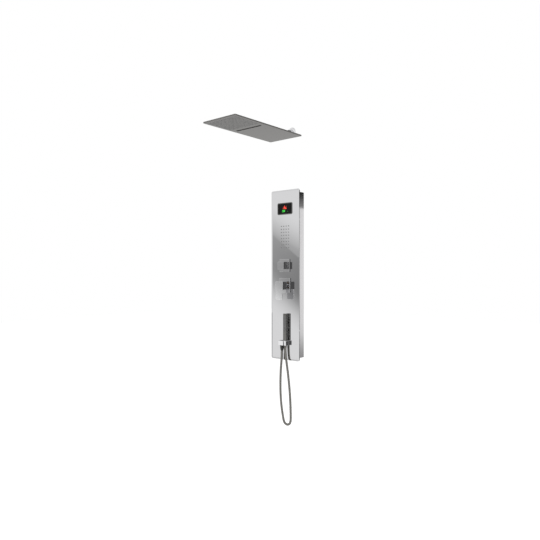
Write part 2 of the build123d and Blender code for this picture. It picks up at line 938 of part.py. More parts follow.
def bar_bottom():
    return holder_top + bar_gap


def bar_front_y():
    return hose_y - bar_depth / 2


def handset_body():
    """The flat bar of the hand shower, with its threaded tail and a recess for the sprays."""
    height = bar_top_z - bar_cap_height - bar_bottom()
    bar = Pos(cradle_x, hose_y, bar_bottom()) * extrude(
        RectangleRounded(bar_width, bar_depth, bar_corner), amount=height
    )
    tail_bottom = bar_bottom() - nut_thread_length
    bar += prism_z(nut_thread_radius - running_play, tail_bottom, bar_bottom(), cradle_x)
    return bar - spray_block(0.0)


def spray_block(inset):
    """The sprays' plate, or with no inset the recess that takes it."""
    half_x = spray_width / 2 - inset
    half_z = spray_length / 2 - inset
    middle = spray_middle_z()
    y0 = bar_front_y()
    return span(
        cradle_x - half_x, cradle_x + half_x, y0, y0 + spray_recess, middle - half_z, middle + half_z
    )


def spray_middle_z():
    return bar_top_z - spray_top_gap - spray_length / 2


def spray_nozzles():
    """The soft nozzles on the sprays' plate."""
    nozzle = pointed(Plane.XZ * RegularPolygon(spray_nozzle_radius, 4), (0, -spray_nozzle_height, 0))
    places = []
    for column in range(spray_columns):
        for row in range(spray_rows):
            x = cradle_x + (column - (spray_columns - 1) / 2) * spray_pitch
            z = spray_middle_z() + (row - (spray_rows - 1) / 2) * spray_row_pitch
            places.append(Pos(x, bar_front_y(), z) * nozzle)
    return places


def pointed(base, tip):
    """A small pointed nozzle on a base."""
    return loft([base.face(), Vertex(*tip)], ruled=True)


def handset_cap():
    """The cap that closes the bar's top."""
    cap = Pos(cradle_x, hose_y, bar_top_z - bar_cap_height) * extrude(
        RectangleRounded(bar_width, bar_depth, bar_corner), amount=bar_cap_height
    )
    return chamfer(cap.faces().sort_by(Axis.Z)[-1].edges(), bar_cap_edge)


def head_shell():
    """The rain head's shallow upper shell, open below."""
    shell = extrude(RectangleRounded(head_width, head_length, head_corner), amount=head_thick)
    inner_width = head_width - 2 * head_wall
    inner_length = head_length - 2 * head_wall
    inner = RectangleRounded(inner_width, inner_length, head_corner - head_wall / 2)
    shell -= extrude(inner, amount=head_thick - head_wall)
    shell = Pos(0, head_mid_y, head_z) * shell
    boss_top = head_top + boss_height
    shell += rod_z(boss_radius, head_top, boss_top, y=-arm_inlet_from_wall)
    return shell - rod_z(arm_radius + play, head_top - head_wall, boss_top, y=-arm_inlet_from_wall)


def head_underside():
    """The flat plate that closes the head, slotted for the waterfall."""
    width = head_width - 2 * (head_wall + head_play)
    length = head_length - 2 * (head_wall + head_play)
    plate = extrude(RectangleRounded(width, length, head_corner - head_wall / 2), amount=underside_thick)
    plate = Pos(0, head_mid_y, head_z) * plate
    return plate - waterfall_block(waterfall_lip_wall, head_z, head_z + underside_thick)


def waterfall_block(margin, z0, z1):
    """The waterfall's mouth, or with a margin the slot that takes its lip."""
    half = waterfall_width / 2 + margin
    mouth = waterfall_mouth / 2 + margin
    return span(-half, half, -waterfall_from_wall - mouth, -waterfall_from_wall + mouth, z0, z1)


def waterfall_lip():
    """The waterfall's lip: a frame through the underside with a chute above it."""
    top = head_top - head_wall
    low = head_z - waterfall_lip_proud
    lip = waterfall_block(waterfall_lip_wall - head_play, low, top)
    return lip - waterfall_block(0.0, low, top - head_wall)


def rain_nozzles():
    """The soft nozzles of the rain field, seated on the underside."""
    base = Pos(0, 0, head_z) * RegularPolygon(rain_nozzle_radius, 4)
    nozzle = pointed(base, (0, 0, head_z - rain_nozzle_height))
    first_y = head_wall_y - head_length + rain_end_margin + rain_nozzle_radius
    places = []
    for column in range(rain_columns):
        for row in range(rain_rows):
            x = (column - (rain_columns - 1) / 2) * rain_pitch
            places.append(Pos(x, first_y + row * rain_pitch, 0) * nozzle)
    return places


def arm_corner():
    """Where the arm's slope ends and it turns down into the head."""
    place = on_slope(arm_inlet_from_wall)
    return place.X, place.Y, place.Z


def on_slope(from_wall):
    """A place on the sloping part of the arm."""
    slope = tan(radians(arm_drop_angle))
    return Vector(0, -from_wall, arm_z - (from_wall - arm_straight) * slope)


def slope_plane(from_wall, length):
    """The plane across the slope where a piece of that length, centred there, starts."""
    axis = Vector(0, -cos(radians(arm_drop_angle)), -sin(radians(arm_drop_angle)))
    return Plane(origin=on_slope(from_wall) - axis * (length / 2), x_dir=(1, 0, 0), z_dir=axis)


def arm_wall_pipe():
    """The arm's wall half, with the thread that screws into the wall."""
    split = on_slope(arm_nut_from_wall - play / 2)
    body = bar_through([(0, 0, arm_z), (0, -arm_straight, arm_z), (split.X, split.Y, split.Z)], arm_radius)
    body += rod_y(arm_thread_radius, 0, arm_thread_length, z=arm_z)
    bore_end = -arm_straight
    return body - prism_y(arm_radius - arm_wall, inner_sides, bore_end, arm_thread_length, z=arm_z)


def arm_head_pipe():
    """The arm's head half, bent down into the head's boss."""
    split = on_slope(arm_nut_from_wall + play / 2)
    low = (0, -arm_inlet_from_wall, head_top)
    return bar_along([(split.X, split.Y, split.Z), arm_corner(), low], arm_radius, arm_corner_cut)


def arm_nut():
    """The hexagonal nut that joins the arm's two halves."""
    start = slope_plane(arm_nut_from_wall, arm_nut_length)
    bore = RegularPolygon(arm_radius / cos(pi / inner_sides), inner_sides)
    outline = RegularPolygon(arm_radius + arm_nut_wall, 6, major_radius=False) - bore
    return extrude(start * outline, amount=arm_nut_length)


def arm_flange():
    """The bevelled disc that covers the hole in the wall."""
    edge_y = flange_edge - flange_thick
    disc = prism_y(flange_radius, flange_sides, edge_y, 0, z=arm_z)
    front = Plane(origin=(0, edge_y, arm_z), x_dir=(1, 0, 0), z_dir=(0, -1, 0))
    disc += tapered(front, flange_sides, flange_radius, flange_radius - flange_edge, flange_edge)
    return disc - bore_y(arm_radius + play, -flange_thick, 0, z=arm_z)


def mixed_pipe():
    """The short pipe from the mixer's top up to the diverter."""
    low = mixer_z + mixer_reach
    high = diverter_z - diverter_reach
    return bar_through([(0, pipe_y, low), (0, pipe_y, high)], pipe_radius)


def sensor_z():
    return (mixer_z + mixer_reach + diverter_z - diverter_reach) / 2


def sensor():
    """The probe clipped to the mixed-water pipe."""
    z0 = sensor_z() - sensor_radius
    z1 = sensor_z() + sensor_radius
    body = span(-pipe_radius - sensor_length, 0, pipe_y - sensor_radius, pipe_y + sensor_radius, z0, z1)
    return body - rod_z(pipe_radius, z0, z1, y=pipe_y)


def sensor_cable():
    """The cable from the display's box down in front of the pipes to the probe."""
    box_z = display_z - window_height / 2 - bezel_wall
    start_x = -window_width / 2 + cable_inset
    box_y = front_y + (sleeve_length + display_depth) / 2
    lane_y = pipe_y - cable_forward
    end_x = -pipe_radius - sensor_length
    run = Polyline(
        (start_x, box_y, box_z),
        (start_x, box_y, box_z - cable_drop),
        (-cable_lane, lane_y, box_z - 2 * cable_drop),
        (-cable_lane, lane_y, sensor_z()),
        (end_x - cable_run, pipe_y, sensor_z()),
        (end_x, pipe_y, sensor_z()),
    )
    return tube(RegularPolygon(cable_radius, small_sides), run, Transition.RIGHT)


def supply_pipe(side):
    """A supply pipe from the mixer's lower port out to its wall elbow."""
    top = mixer_z - mixer_reach
    low = inlet_z + elbow_reach
    route = [
        (side * mixer_port_x, pipe_y, top),
        (side * mixer_port_x, pipe_y, top - supply_straight),
        (side * inlet_x, pipe_y, low + supply_straight),
        (side * inlet_x, pipe_y, low),
    ]
    return bar_through(route, pipe_radius)


def head_feed_pipe():
    """From the diverter's left port up beside the jets to the top elbow."""
    return pipe(
        (-diverter_reach, pipe_y, diverter_z),
        (-pipe_lane, pipe_y, diverter_z),
        (-pipe_lane, pipe_y, head_feed_z),
        (-elbow_reach, pipe_y, head_feed_z),
    )


def hand_feed_pipe():
    """From the diverter's right port down beside the inlets to the outlet block."""
    return pipe(
        (diverter_reach, pipe_y, diverter_z),
        (pipe_lane, pipe_y, diverter_z),
        (pipe_lane, pipe_y, holder_z),
        (outlet_x + elbow_reach, pipe_y, holder_z),
    )


def jet_feed_pipe():
    """From the diverter's top port up into the jets' chamber."""
    low = diverter_z + diverter_reach
    high = jet_port_z()
    middle = (low + high) / 2
    route = [
        (0, pipe_y, low),
        (0, pipe_y, middle - port_length),
        (0, jet_port_y(), middle + port_length),
        (0, jet_port_y(), high),
    ]
    return bar_through(route, pipe_radius)


write("front_plate", front_plate())
write("side_profiles", side_profile(-1), side_profile(1))
write("end_plates", end_plate(1), end_plate(-1))
write("side_screws", *[side_screw(side, z) for side in (-1, 1) for z in (-side_screw_z, side_screw_z)])
bracket_heights = (bracket_z, -bracket_z)
write("wall_brackets", *[bracket(z) for z in bracket_heights])
write("hanging_rails", *[rail(z) for z in bracket_heights])

write("display_bezel", display_bezel())
write("display_window", display_window())
write("display_board", display_board())
write("display_box", display_box())
write("temperature_sensor", sensor())
write("sensor_cable", sensor_cable())

write("jet_nozzle_mat", jet_mat())
write("jet_chamber", jet_chamber())
write("jet_studs", *[jet_stud(x, z) for x, z in stud_places()])

write("diverter_rosette", rosette(diverter_rosette, spindle_radius + 2 * play, diverter_z))
write("diverter_body", diverter_body())
write("diverter_ring_nut", ring_nut(diverter_neck_radius, diverter_z))
write("diverter_spindle", diverter_spindle())
write("diverter_knob", diverter_knob())
write("diverter_set_screw", knob_grub())

write("mixer_rosette", rosette(mixer_rosette, sleeve_radius + play, mixer_z))
write("mixer_body", mixer_body())
write("mixer_ring_nut", ring_nut(mixer_neck_radius, mixer_z))
write("mixer_sleeve", mixer_sleeve())
write("cartridge", cartridge())
write("cartridge_nut", cartridge_nut())
write("cartridge_bush", cartridge_bush())
write("stem_pin", stem_pin())
write("lever_stem", lever_stem())
write("lever_handle", lever_handle())
write("lever_set_screw", lever_grub())

write("mixed_water_pipe", mixed_pipe())
write("supply_pipes", supply_pipe(-1), supply_pipe(1))
write("jet_feed_pipe", jet_feed_pipe())
write("head_feed_pipe", head_feed_pipe())
write("hand_feed_pipe", hand_feed_pipe())
write("inlet_elbows", *[wall_elbow(x, inlet_z, "up") for x in (-inlet_x, inlet_x)])
write("head_feed_elbow", wall_elbow(0, head_feed_z, "side"))
union_places = ((-inlet_x, inlet_z), (inlet_x, inlet_z), (0, head_feed_z))
write("union_nuts", *[union_nut(x, z) for x, z in union_places])

write("holder_block", holder_block())
write("holder_washer", holder_washer())
write("holder_nut", holder_nut())
write("holder_elbow", holder_elbow())
write("outlet_nut", outlet_nut())
write("hose", hose())

write("handset_nut", handset_nut())
write("handset_body", handset_body())
write("handset_spray_plate", spray_block(play))
write("handset_nozzles", *spray_nozzles())
write("handset_cap", handset_cap())

write("head_shell", head_shell())
write("head_underside", head_underside())
write("waterfall_lip", waterfall_lip())
write("rain_nozzles", *rain_nozzles())
write("arm_wall_pipe", arm_wall_pipe())
write("arm_head_pipe", arm_head_pipe())
write("arm_nut", arm_nut())
write("arm_flange", arm_flange())
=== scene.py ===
# %% [markdown]
# A wall shower panel with a rain head, dressed for a studio picture.
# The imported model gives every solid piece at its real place, in metres, with X to the right,
# Y into the wall and Z up. This file adds the finishes, the hose and the fine pieces round it.

# %% Load the frame
import math

import bmesh
import bpy
import numpy as np
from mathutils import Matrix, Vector


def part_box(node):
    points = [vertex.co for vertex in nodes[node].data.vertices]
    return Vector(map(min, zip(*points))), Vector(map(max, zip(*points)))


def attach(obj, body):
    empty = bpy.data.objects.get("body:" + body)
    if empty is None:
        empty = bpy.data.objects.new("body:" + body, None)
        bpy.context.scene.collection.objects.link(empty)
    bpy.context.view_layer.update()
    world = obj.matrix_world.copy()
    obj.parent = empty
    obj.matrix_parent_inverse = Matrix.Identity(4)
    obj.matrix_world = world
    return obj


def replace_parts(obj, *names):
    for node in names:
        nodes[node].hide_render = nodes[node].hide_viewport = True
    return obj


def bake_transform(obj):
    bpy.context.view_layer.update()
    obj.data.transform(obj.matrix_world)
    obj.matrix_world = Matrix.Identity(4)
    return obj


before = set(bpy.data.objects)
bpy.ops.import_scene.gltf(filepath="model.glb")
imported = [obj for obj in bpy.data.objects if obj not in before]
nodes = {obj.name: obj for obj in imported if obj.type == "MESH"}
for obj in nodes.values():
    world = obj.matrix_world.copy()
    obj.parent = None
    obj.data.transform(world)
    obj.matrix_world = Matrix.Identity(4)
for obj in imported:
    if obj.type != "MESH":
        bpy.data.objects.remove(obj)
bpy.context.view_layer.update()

MM = 0.001

# %% [markdown]
# The camera stands level, a little right of the panel, about three metres away. Its yaw and its
# distance come from the panel's and the head's straight edges in the picture. A level camera keeps
# upright edges upright, so a small vertical shift does the rest of the framing.

# %% Place the camera
IMAGE_SIZE = 540
FOCAL_PIXELS = 537.3
CAMERA_YAW = math.radians(40.34)
CAMERA_PLACE = Vector((1.9821, -2.5376, 0.0223))
HORIZON_ROW = 271.1
SENSOR = 36.0

camera = bpy.data.objects.new("camera", bpy.data.cameras.new("camera"))
bpy.context.scene.collection.objects.link(camera)
bpy.context.scene.camera = camera
camera.location = CAMERA_PLACE
camera.rotation_euler = (math.radians(90), 0, CAMERA_YAW)
camera.data.sensor_width = SENSOR
camera.data.lens = FOCAL_PIXELS / IMAGE_SIZE * SENSOR
camera.data.shift_y = (HORIZON_ROW - IMAGE_SIZE / 2) / IMAGE_SIZE
print("lens", round(camera.data.lens, 2), "mm")

# %% [markdown]
# Nearly every small piece here is a stack of closed rings: a turned nut, a tube along a path, a
# block with soft edges. One helper turns such a stack into a closed mesh, and can repeat it at many
# places at once.

# %% Turn stacks of rings into pieces
SHARP_ANGLE = math.radians(38)


def ring_faces(rows, columns, loop):
    """The quads between neighbouring rings, and two end faces unless the stack closes on itself."""
    row = np.arange(rows if loop else rows - 1)[:, None]
    column = np.arange(columns)[None, :]
    beside = (column + 1) % columns
    over = (row + 1) % rows * columns
    quads = [row * columns + column, row * columns + beside, over + beside, over + column]
    faces = np.stack(np.broadcast_arrays(*quads), axis=-1).reshape(-1, 4).tolist()
    if not loop:
        faces.append(list(range(columns))[::-1])
        faces.append(list(range((rows - 1) * columns, rows * columns)))
    return faces


def piece(name, rings, slot, body="panel", loop=False, places=None):
    """A closed mesh from rings, an array of rows x columns x 3, repeated at each of the places."""
    rings = np.asarray(rings, float)
    points = rings.reshape(-1, 3)
    faces = ring_faces(*rings.shape[:2], loop)
    if places is not None:
        count = len(points)
        starts = range(0, count * len(places), count)
        points = (points[None] + np.asarray(places)[:, None]).reshape(-1, 3)
        faces = [[corner + start for corner in face] for start in starts for face in faces]
    mesh = bpy.data.meshes.new(name)
    mesh.from_pydata(points.tolist(), [], faces)
    shape = bmesh.new()
    shape.from_mesh(mesh)
    bmesh.ops.recalc_face_normals(shape, faces=shape.faces)
    shape.to_mesh(mesh)
    shape.free()
    mesh.shade_smooth()
    mesh.set_sharp_from_angle(angle=SHARP_ANGLE)
    made = bpy.data.objects.new(name, mesh)
    bpy.context.scene.collection.objects.link(made)
    made.data.materials.append(materials[slot])
    if body:
        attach(made, body)
    print(name, len(mesh.vertices), "points")
    return made


def soften(outline, cut, steps=4, loop=False):
    """An outline whose corners become small curves.

    Each curve starts at a point before its corner and ends at one after it, no further than the
    cut or 45% of the side, and the corner pulls its middle: (1-t)^2 a + 2t(1-t) corner + t^2 b.
    """
    outline = np.asarray(outline, float)
    corners = outline if loop else outline[1:-1]
    before = (np.roll(outline, 1, axis=0) if loop else outline[:-2]) - corners[: len(outline)]
    after = (np.roll(outline, -1, axis=0) if loop else outline[2:]) - corners[: len(outline)]
    lengths = [np.linalg.norm(side, axis=1, keepdims=True) for side in (before, after)]
    start = corners + before * np.minimum(cut / lengths[0], 0.45)
    end = corners + after * np.minimum(cut / lengths[1], 0.45)
    t = np.linspace(0, 1, steps + 1)[None, :, None]
    curves = (1 - t) ** 2 * start[:, None] + 2 * t * (1 - t) * corners[:, None] + t**2 * end[:, None]
    curves = curves.reshape(-1, outline.shape[1])
    return curves if loop else np.vstack([outline[:1], curves, outline[-1:]])


def turned(profile, start, axis, sides=48):
    """Rings of a turned piece: each (radius, distance) of the profile makes one circle round the axis."""
    axis = np.asarray(axis, float) / np.linalg.norm(axis)
    first = np.cross(axis, (1, 0, 0) if abs(axis[0]) < 0.9 else (0, 0, 1))
    first /= np.linalg.norm(first)
    second = np.cross(axis, first)
    angle = np.linspace(0, 2 * np.pi, sides, endpoint=False)[None, :, None]
    radius, distance = np.asarray(profile, float).T[:, :, None, None]
    return np.asarray(start) + distance * axis + radius * (np.cos(angle) * first + np.sin(angle) * second)


def tube(path, radius, across, sides=24):
    """Rings round a path. One direction of each ring is square to the path and to a fixed direction."""
    path = np.asarray(path, float)
    along = np.gradient(path, axis=0)
    first = np.cross(across, along)
    first /= np.linalg.norm(first, axis=1, keepdims=True)
    second = np.cross(along, first)
    second /= np.linalg.norm(second, axis=1, keepdims=True)
    angle = np.linspace(0, 2 * np.pi, sides, endpoint=False)[None, :, None]
    spread = np.cos(angle) * first[:, None] + np.sin(angle) * second[:, None]
    return path[:, None] + np.reshape(radius * np.ones(len(path)), (-1, 1, 1)) * spread


# %% [markdown]
# Finishes come before the pieces that wear them. Real plated and brushed metal is never one flat
# tone: it has a fine grain, faint wipe marks and slightly duller patches. Three small node groups
# hold those effects, and each finish sets its own scale and strength.

# %% Make the shared effects
def new_group(name, inputs, outputs):
    """A shader node group with float inputs and outputs, and its two end nodes."""
    group = bpy.data.node_groups.new(name, "ShaderNodeTree")
    for label, value in inputs.items():
        group.interface.new_socket(label, in_out="INPUT", socket_type="NodeSocketFloat").default_value = value
    for label in outputs:
        group.interface.new_socket(label, in_out="OUTPUT", socket_type="NodeSocketFloat")
    return group, group.nodes.new("NodeGroupInput"), group.nodes.new("NodeGroupOutput")


def maths(tree, operation, *values):
    """A Math node whose inputs are numbers or sockets."""
    node = tree.nodes.new("ShaderNodeMath")
    node.operation = operation
    for socket, value in zip(node.inputs, values):
        if isinstance(value, (int, float)):
            socket.default_value = value
        else:
            tree.links.new(value, socket)
    return node.outputs[0]


def noise(tree, scale, detail, stretch=(1, 1, 1)):
    """Noise on the piece's own coordinates, drawn out along an axis by the stretch."""
    place = tree.nodes.new("ShaderNodeTexCoord")
    mapping = tree.nodes.new("ShaderNodeMapping")
    mapping.inputs["Scale"].default_value = stretch
    texture = tree.nodes.new("ShaderNodeTexNoise")
    texture.inputs["Detail"].default_value = detail
    tree.links.new(place.outputs["Object"], mapping.inputs["Vector"])
    tree.links.new(mapping.outputs["Vector"], texture.inputs["Vector"])
    if isinstance(scale, (int, float)):
        texture.inputs["Scale"].default_value = scale
    else:
        tree.links.new(scale, texture.inputs["Scale"])
    return texture.outputs["Fac"]


def brushed_grain_group():
    """Fine lines along Z: noise at full scale across and a fiftieth of it along."""
    group, start, end = new_group("brushed_grain", {"Scale": 900.0, "Depth": 0.5}, ["Shade", "Height"])
    lines = noise(group, start.outputs["Scale"], 3.0, (1, 1, 0.02))
    group.links.new(lines, end.inputs["Shade"])
    group.links.new(maths(group, "MULTIPLY", lines, start.outputs["Depth"]), end.inputs["Height"])
    return group


def wipe_marks_group():
    """Broad soft patches where a cloth has passed, from 0 to 1."""
    group, start, end = new_group("wipe_marks", {"Scale": 9.0, "Contrast": 2.0}, ["Mask"])
    patches = noise(group, start.outputs["Scale"], 4.0, (1, 1, 0.5))
    centred = maths(group, "SUBTRACT", patches, 0.5)
    raised = maths(group, "MULTIPLY", centred, start.outputs["Contrast"])
    shown = group.nodes.new("ShaderNodeClamp")
    group.links.new(maths(group, "ADD", raised, 0.5), shown.inputs["Value"])
    group.links.new(shown.outputs[0], end.inputs["Mask"])
    return group


def cast_skin_group():
    """The small even grain of cast, moulded or galvanised surfaces."""
    group, start, end = new_group("cast_skin", {"Scale": 600.0, "Depth": 0.5}, ["Shade", "Height"])
    grain = noise(group, start.outputs["Scale"], 5.0)
    group.links.new(grain, end.inputs["Shade"])
    group.links.new(maths(group, "MULTIPLY", grain, start.outputs["Depth"]), end.inputs["Height"])
    return group


brushed_grain = brushed_grain_group()
wipe_marks = wipe_marks_group()
cast_skin = cast_skin_group()
print("effects", [group.name for group in (brushed_grain, wipe_marks, cast_skin)])

# %% [markdown]
# Each finish is one Principled shader. Its colour shifts a little between two close tones by the
# grain, its roughness rises where the wipe marks are, and the grain gives it a shallow bump.

# %% Mix the finishes
FINISHES = {
    # name: colour, second colour, metallic, roughness, rise in wipe marks, grain, scale, bump
    "polished_steel": ((0.66, 0.66, 0.665), (0.64, 0.64, 0.65), 1.0, 0.015, 0.02, "brushed", 500, 0.0),
    "satin_steel": ((0.66, 0.65, 0.655), (0.63, 0.62, 0.63), 1.0, 0.04, 0.03, "brushed", 700, 0.0),
    "dark_steel": ((0.17, 0.165, 0.155), (0.14, 0.135, 0.13), 1.0, 0.30, 0.08, "brushed", 700, 0.04),
    "galvanised_steel": ((0.50, 0.52, 0.54), (0.38, 0.40, 0.42), 1.0, 0.38, 0.15, "cast", 60, 0.10),
    "chrome": ((0.80, 0.80, 0.81), (0.77, 0.77, 0.78), 1.0, 0.03, 0.03, "cast", 300, 0.0),
    "dark_chrome": ((0.075, 0.075, 0.073), (0.06, 0.06, 0.058), 1.0, 0.12, 0.06, "cast", 300, 0.0),
    "display_glass": ((0.003, 0.003, 0.003), (0.005, 0.005, 0.004), 0.0, 0.06, 0.05, "cast", 200, 0.0),
    "bar_chrome": ((0.40, 0.40, 0.39), (0.36, 0.36, 0.35), 1.0, 0.06, 0.05, "cast", 300, 0.0),
    # The next finish is a darker copy of the bar's chrome for the hand shower's front faces: painted shade.
    "bar_front": ((0.18, 0.178, 0.17), (0.16, 0.158, 0.15), 1.0, 0.08, 0.05, "cast", 300, 0.0),
    # The next finish is a brighter copy of chrome for the lever's front face: painted light.
    "plate_chrome": ((0.94, 0.94, 0.95), (0.92, 0.92, 0.93), 1.0, 0.11, 0.04, "cast", 300, 0.0),
    "edge_chrome": ((0.85, 0.85, 0.86), (0.82, 0.82, 0.83), 1.0, 0.42, 0.04, "cast", 300, 0.0),
    "window_rim": ((0.16, 0.16, 0.155), (0.13, 0.13, 0.125), 1.0, 0.12, 0.05, "cast", 300, 0.0),
    "circuit_board": ((0.01, 0.10, 0.04), (0.02, 0.14, 0.06), 0.0, 0.45, 0.10, "cast", 400, 0.10),
    "black_plastic": ((0.020, 0.020, 0.021), (0.028, 0.028, 0.029), 0.0, 0.42, 0.08, "cast", 900, 0.15),
    "white_plastic": ((0.78, 0.78, 0.76), (0.74, 0.74, 0.72), 0.0, 0.38, 0.08, "cast", 700, 0.10),
    "grey_plastic": ((0.15, 0.15, 0.15), (0.12, 0.12, 0.12), 0.0, 0.38, 0.08, "cast", 700, 0.12),
    "brass": ((0.62, 0.42, 0.18), (0.54, 0.36, 0.15), 1.0, 0.30, 0.12, "cast", 500, 0.15),
    "copper_pipe": ((0.72, 0.36, 0.22), (0.58, 0.27, 0.16), 1.0, 0.24, 0.15, "brushed", 300, 0.06),
    "black_rubber": ((0.018, 0.018, 0.018), (0.026, 0.026, 0.026), 0.0, 0.62, 0.08, "cast", 900, 0.20),
    "grey_silicone": ((0.30, 0.30, 0.30), (0.27, 0.27, 0.27), 0.0, 0.48, 0.08, "cast", 900, 0.12),
    "hose_metal": ((0.30, 0.29, 0.27), (0.24, 0.235, 0.22), 1.0, 0.20, 0.08, "cast", 900, 0.05),
    # The head's steel is a much darker copy of the panel's steel: painted shade that gives the rain head's underside
    # its shaded grey.
    "head_steel": ((0.268, 0.260, 0.248), (0.252, 0.245, 0.233), 1.0, 0.10, 0.06, "brushed", 600, 0.02),
}


def finish(name, colour, second, metallic, roughness, rise, grain, scale, bump):
    """One finish: two tones by the grain, roughness by the wipe marks, a shallow bump by the grain."""
    material = bpy.data.materials.new(name)
    material.use_nodes = True
    tree = material.node_tree
    shader = tree.nodes["Principled BSDF"]
    shader.inputs["Metallic"].default_value = metallic
    effect = tree.nodes.new("ShaderNodeGroup")
    effect.node_tree = brushed_grain if grain == "brushed" else cast_skin
    effect.inputs["Scale"].default_value = scale
    marks = tree.nodes.new("ShaderNodeGroup")
    marks.node_tree = wipe_marks
    tones = tree.nodes.new("ShaderNodeMix")
    tones.data_type = "RGBA"
    tones.inputs["A"].default_value = (*colour, 1)
    tones.inputs["B"].default_value = (*second, 1)
    tree.links.new(effect.outputs["Shade"], tones.inputs["Factor"])
    tree.links.new(tones.outputs["Result"], shader.inputs["Base Color"])
    duller = maths(tree, "MULTIPLY", marks.outputs["Mask"], rise)
    tree.links.new(maths(tree, "ADD", duller, roughness), shader.inputs["Roughness"])
    if bump:
        relief = tree.nodes.new("ShaderNodeBump")
        relief.inputs["Strength"].default_value = bump
        relief.inputs["Distance"].default_value = 0.1 * MM
        tree.links.new(effect.outputs["Height"], relief.inputs["Height"])
        tree.links.new(relief.outputs["Normal"], shader.inputs["Normal"])
    return material


materials = {name: finish(name, *values) for name, values in FINISHES.items()}
materials["display_glass"].node_tree.nodes["Principled BSDF"].inputs["Specular IOR Level"].default_value = 0.12
print("finishes", len(materials), "renamed", [m.name for m in materials.values() if "." in m.name])

# %% [markdown]
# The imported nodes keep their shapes. Each one's material slots are named for its finish, so a
# loop can put the finished material in place of the plain one.

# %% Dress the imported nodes
for node_name, node in nodes.items():
    for slot in node.material_slots:
        wanted = slot.material.name.split(".")[0] if slot.material else ""
        if wanted not in materials:
            wanted = next((name for name in materials if name in wanted), None)
        if wanted is None:
            print("no finish for", node_name, slot.material)
        else:
            slot.material = materials[wanted]
nodes["display_bezel"].material_slots[0].material = materials["window_rim"]
# The waterfall lip takes the head's darkened steel as well: painted shade.
nodes["waterfall_lip"].material_slots[0].material = materials["head_steel"]
nodes["cartridge_nut"].material_slots[0].material = materials["chrome"]
print("dressed", len(nodes), "nodes")

# %% [markdown]
# The hose hangs from the outlet in a long narrow loop and comes back up to the hand shower. One
# smooth NURBS curve follows its route, and a mesh tube round that curve carries the wound ribs.
# The points lie in one plane in front of the panel, closer together round the tight bottom bend.

# %% Lay the hose's centre line
HOSE_Y = -83.0
HOSE_RADIUS = 7.0 * MM
HOSE_LENGTH = 0.925
HOSE_ROUTE = [
    (-11.0, -442.0),
    (-11.0, -480.0),
    (-19.0, -550.0),
    (-22.5, -640.0),
    (-20.0, -722.0),
    (-12.0, -785.0),
    (-3.0, -828.0),
    (6.0, -866.0),
    (32.3, -875.6),
    (55.0, -859.0),
    (55.5, -806.0),
    (51.5, -712.0),
    (41.0, -615.0),
    (28.0, -530.0),
    (15.0, -460.0),
    (15.0, -413.3),
]


def smooth_line(name, points, resolution):
    """An open NURBS spline whose control points are the given ones, in metres."""
    curve = bpy.data.curves.new(name, "CURVE")
    curve.dimensions = "3D"
    spline = curve.splines.new("NURBS")
    spline.points.add(len(points) - 1)
    for point, place in zip(spline.points, points):
        point.co = (*place, 1.0)
    spline.order_u = 3
    spline.use_endpoint_u = True
    curve.resolution_u = resolution
    return bpy.data.objects.new(name, curve)


def line_points(line):
    """The places that a curve with no bevel runs through."""
    bpy.context.scene.collection.objects.link(line)
    graph = bpy.context.evaluated_depsgraph_get()
    mesh = bpy.data.meshes.new_from_object(line.evaluated_get(graph))
    places = np.empty(len(mesh.vertices) * 3)
    mesh.vertices.foreach_get("co", places)
    bpy.data.meshes.remove(mesh)
    bpy.data.objects.remove(line)
    return places.reshape(-1, 3)


hose_control = [(x * MM, HOSE_Y * MM, z * MM) for x, z in HOSE_ROUTE]
hose_line = line_points(smooth_line("hose_line", hose_control, 24))
hose_steps = np.linalg.norm(np.diff(hose_line, axis=0), axis=1)
hose_run = np.concatenate([[0.0], np.cumsum(hose_steps)])
print("hose line", round(float(hose_run[-1]), 3), "m long")

# %% [markdown]
# A shower hose is a steel strip wound in a tight helix, so along its length it rises and falls in
# even ribs. The radius here is a rounded wave of the distance along the line: full on each rib and
# a shallow valley between two. One tube can't both hang from the fixed outlet and rise with the
# hand shower. The loop is two lengths that meet at its lowest point: the first stays with the
# panel, and the second, which runs up to the hand shower, is attached to no body.

# %% Wind the hose
RIB_PITCH = 2.6 * MM
RIB_DEPTH = 0.7 * MM
RIB_STEPS = 5


def wound_tube(name, start, end):
    """A ribbed length of hose between two distances along the line.

    radius = full radius - depth * |cos(pi * distance / pitch)|^4, so ribs are broad and valleys narrow.
    """
    ribs = int(round((end - start) / RIB_PITCH))
    run = np.linspace(start, end, ribs * RIB_STEPS + 1)
    path = np.stack([np.interp(run, hose_run, hose_line[:, axis]) for axis in range(3)], axis=1)
    wave = np.abs(np.cos(np.pi * (run - start) / (end - start) * ribs)) ** 4
    rings = tube(path, HOSE_RADIUS - RIB_DEPTH * wave, (0, 1, 0), sides=20)
    return piece(name, rings, "hose_metal", body=None), path


lowest = float(hose_run[np.argmin(hose_line[:, 2])])
fixed_hose, fixed_path = wound_tube("hose_from_outlet", 0.0, lowest)
free_hose, free_path = wound_tube("hose_to_hand_shower", lowest, float(hose_run[-1]))
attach(fixed_hose, "panel")
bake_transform(free_hose)
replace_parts(fixed_hose, "hose")
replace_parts(free_hose, "hose")
print("hose lengths", round(lowest, 3), round(float(hose_run[-1]) - lowest, 3))

# %% [markdown]
# The knob, the lever and the cradle are cut from square bar and plated, so their faces are flat and
# their edges barely rounded. An outline is carried along one axis, and a Bevel modifier rounds the
# edges. Its hardened normals keep the flat faces flat, which a mirror finish shows at once.

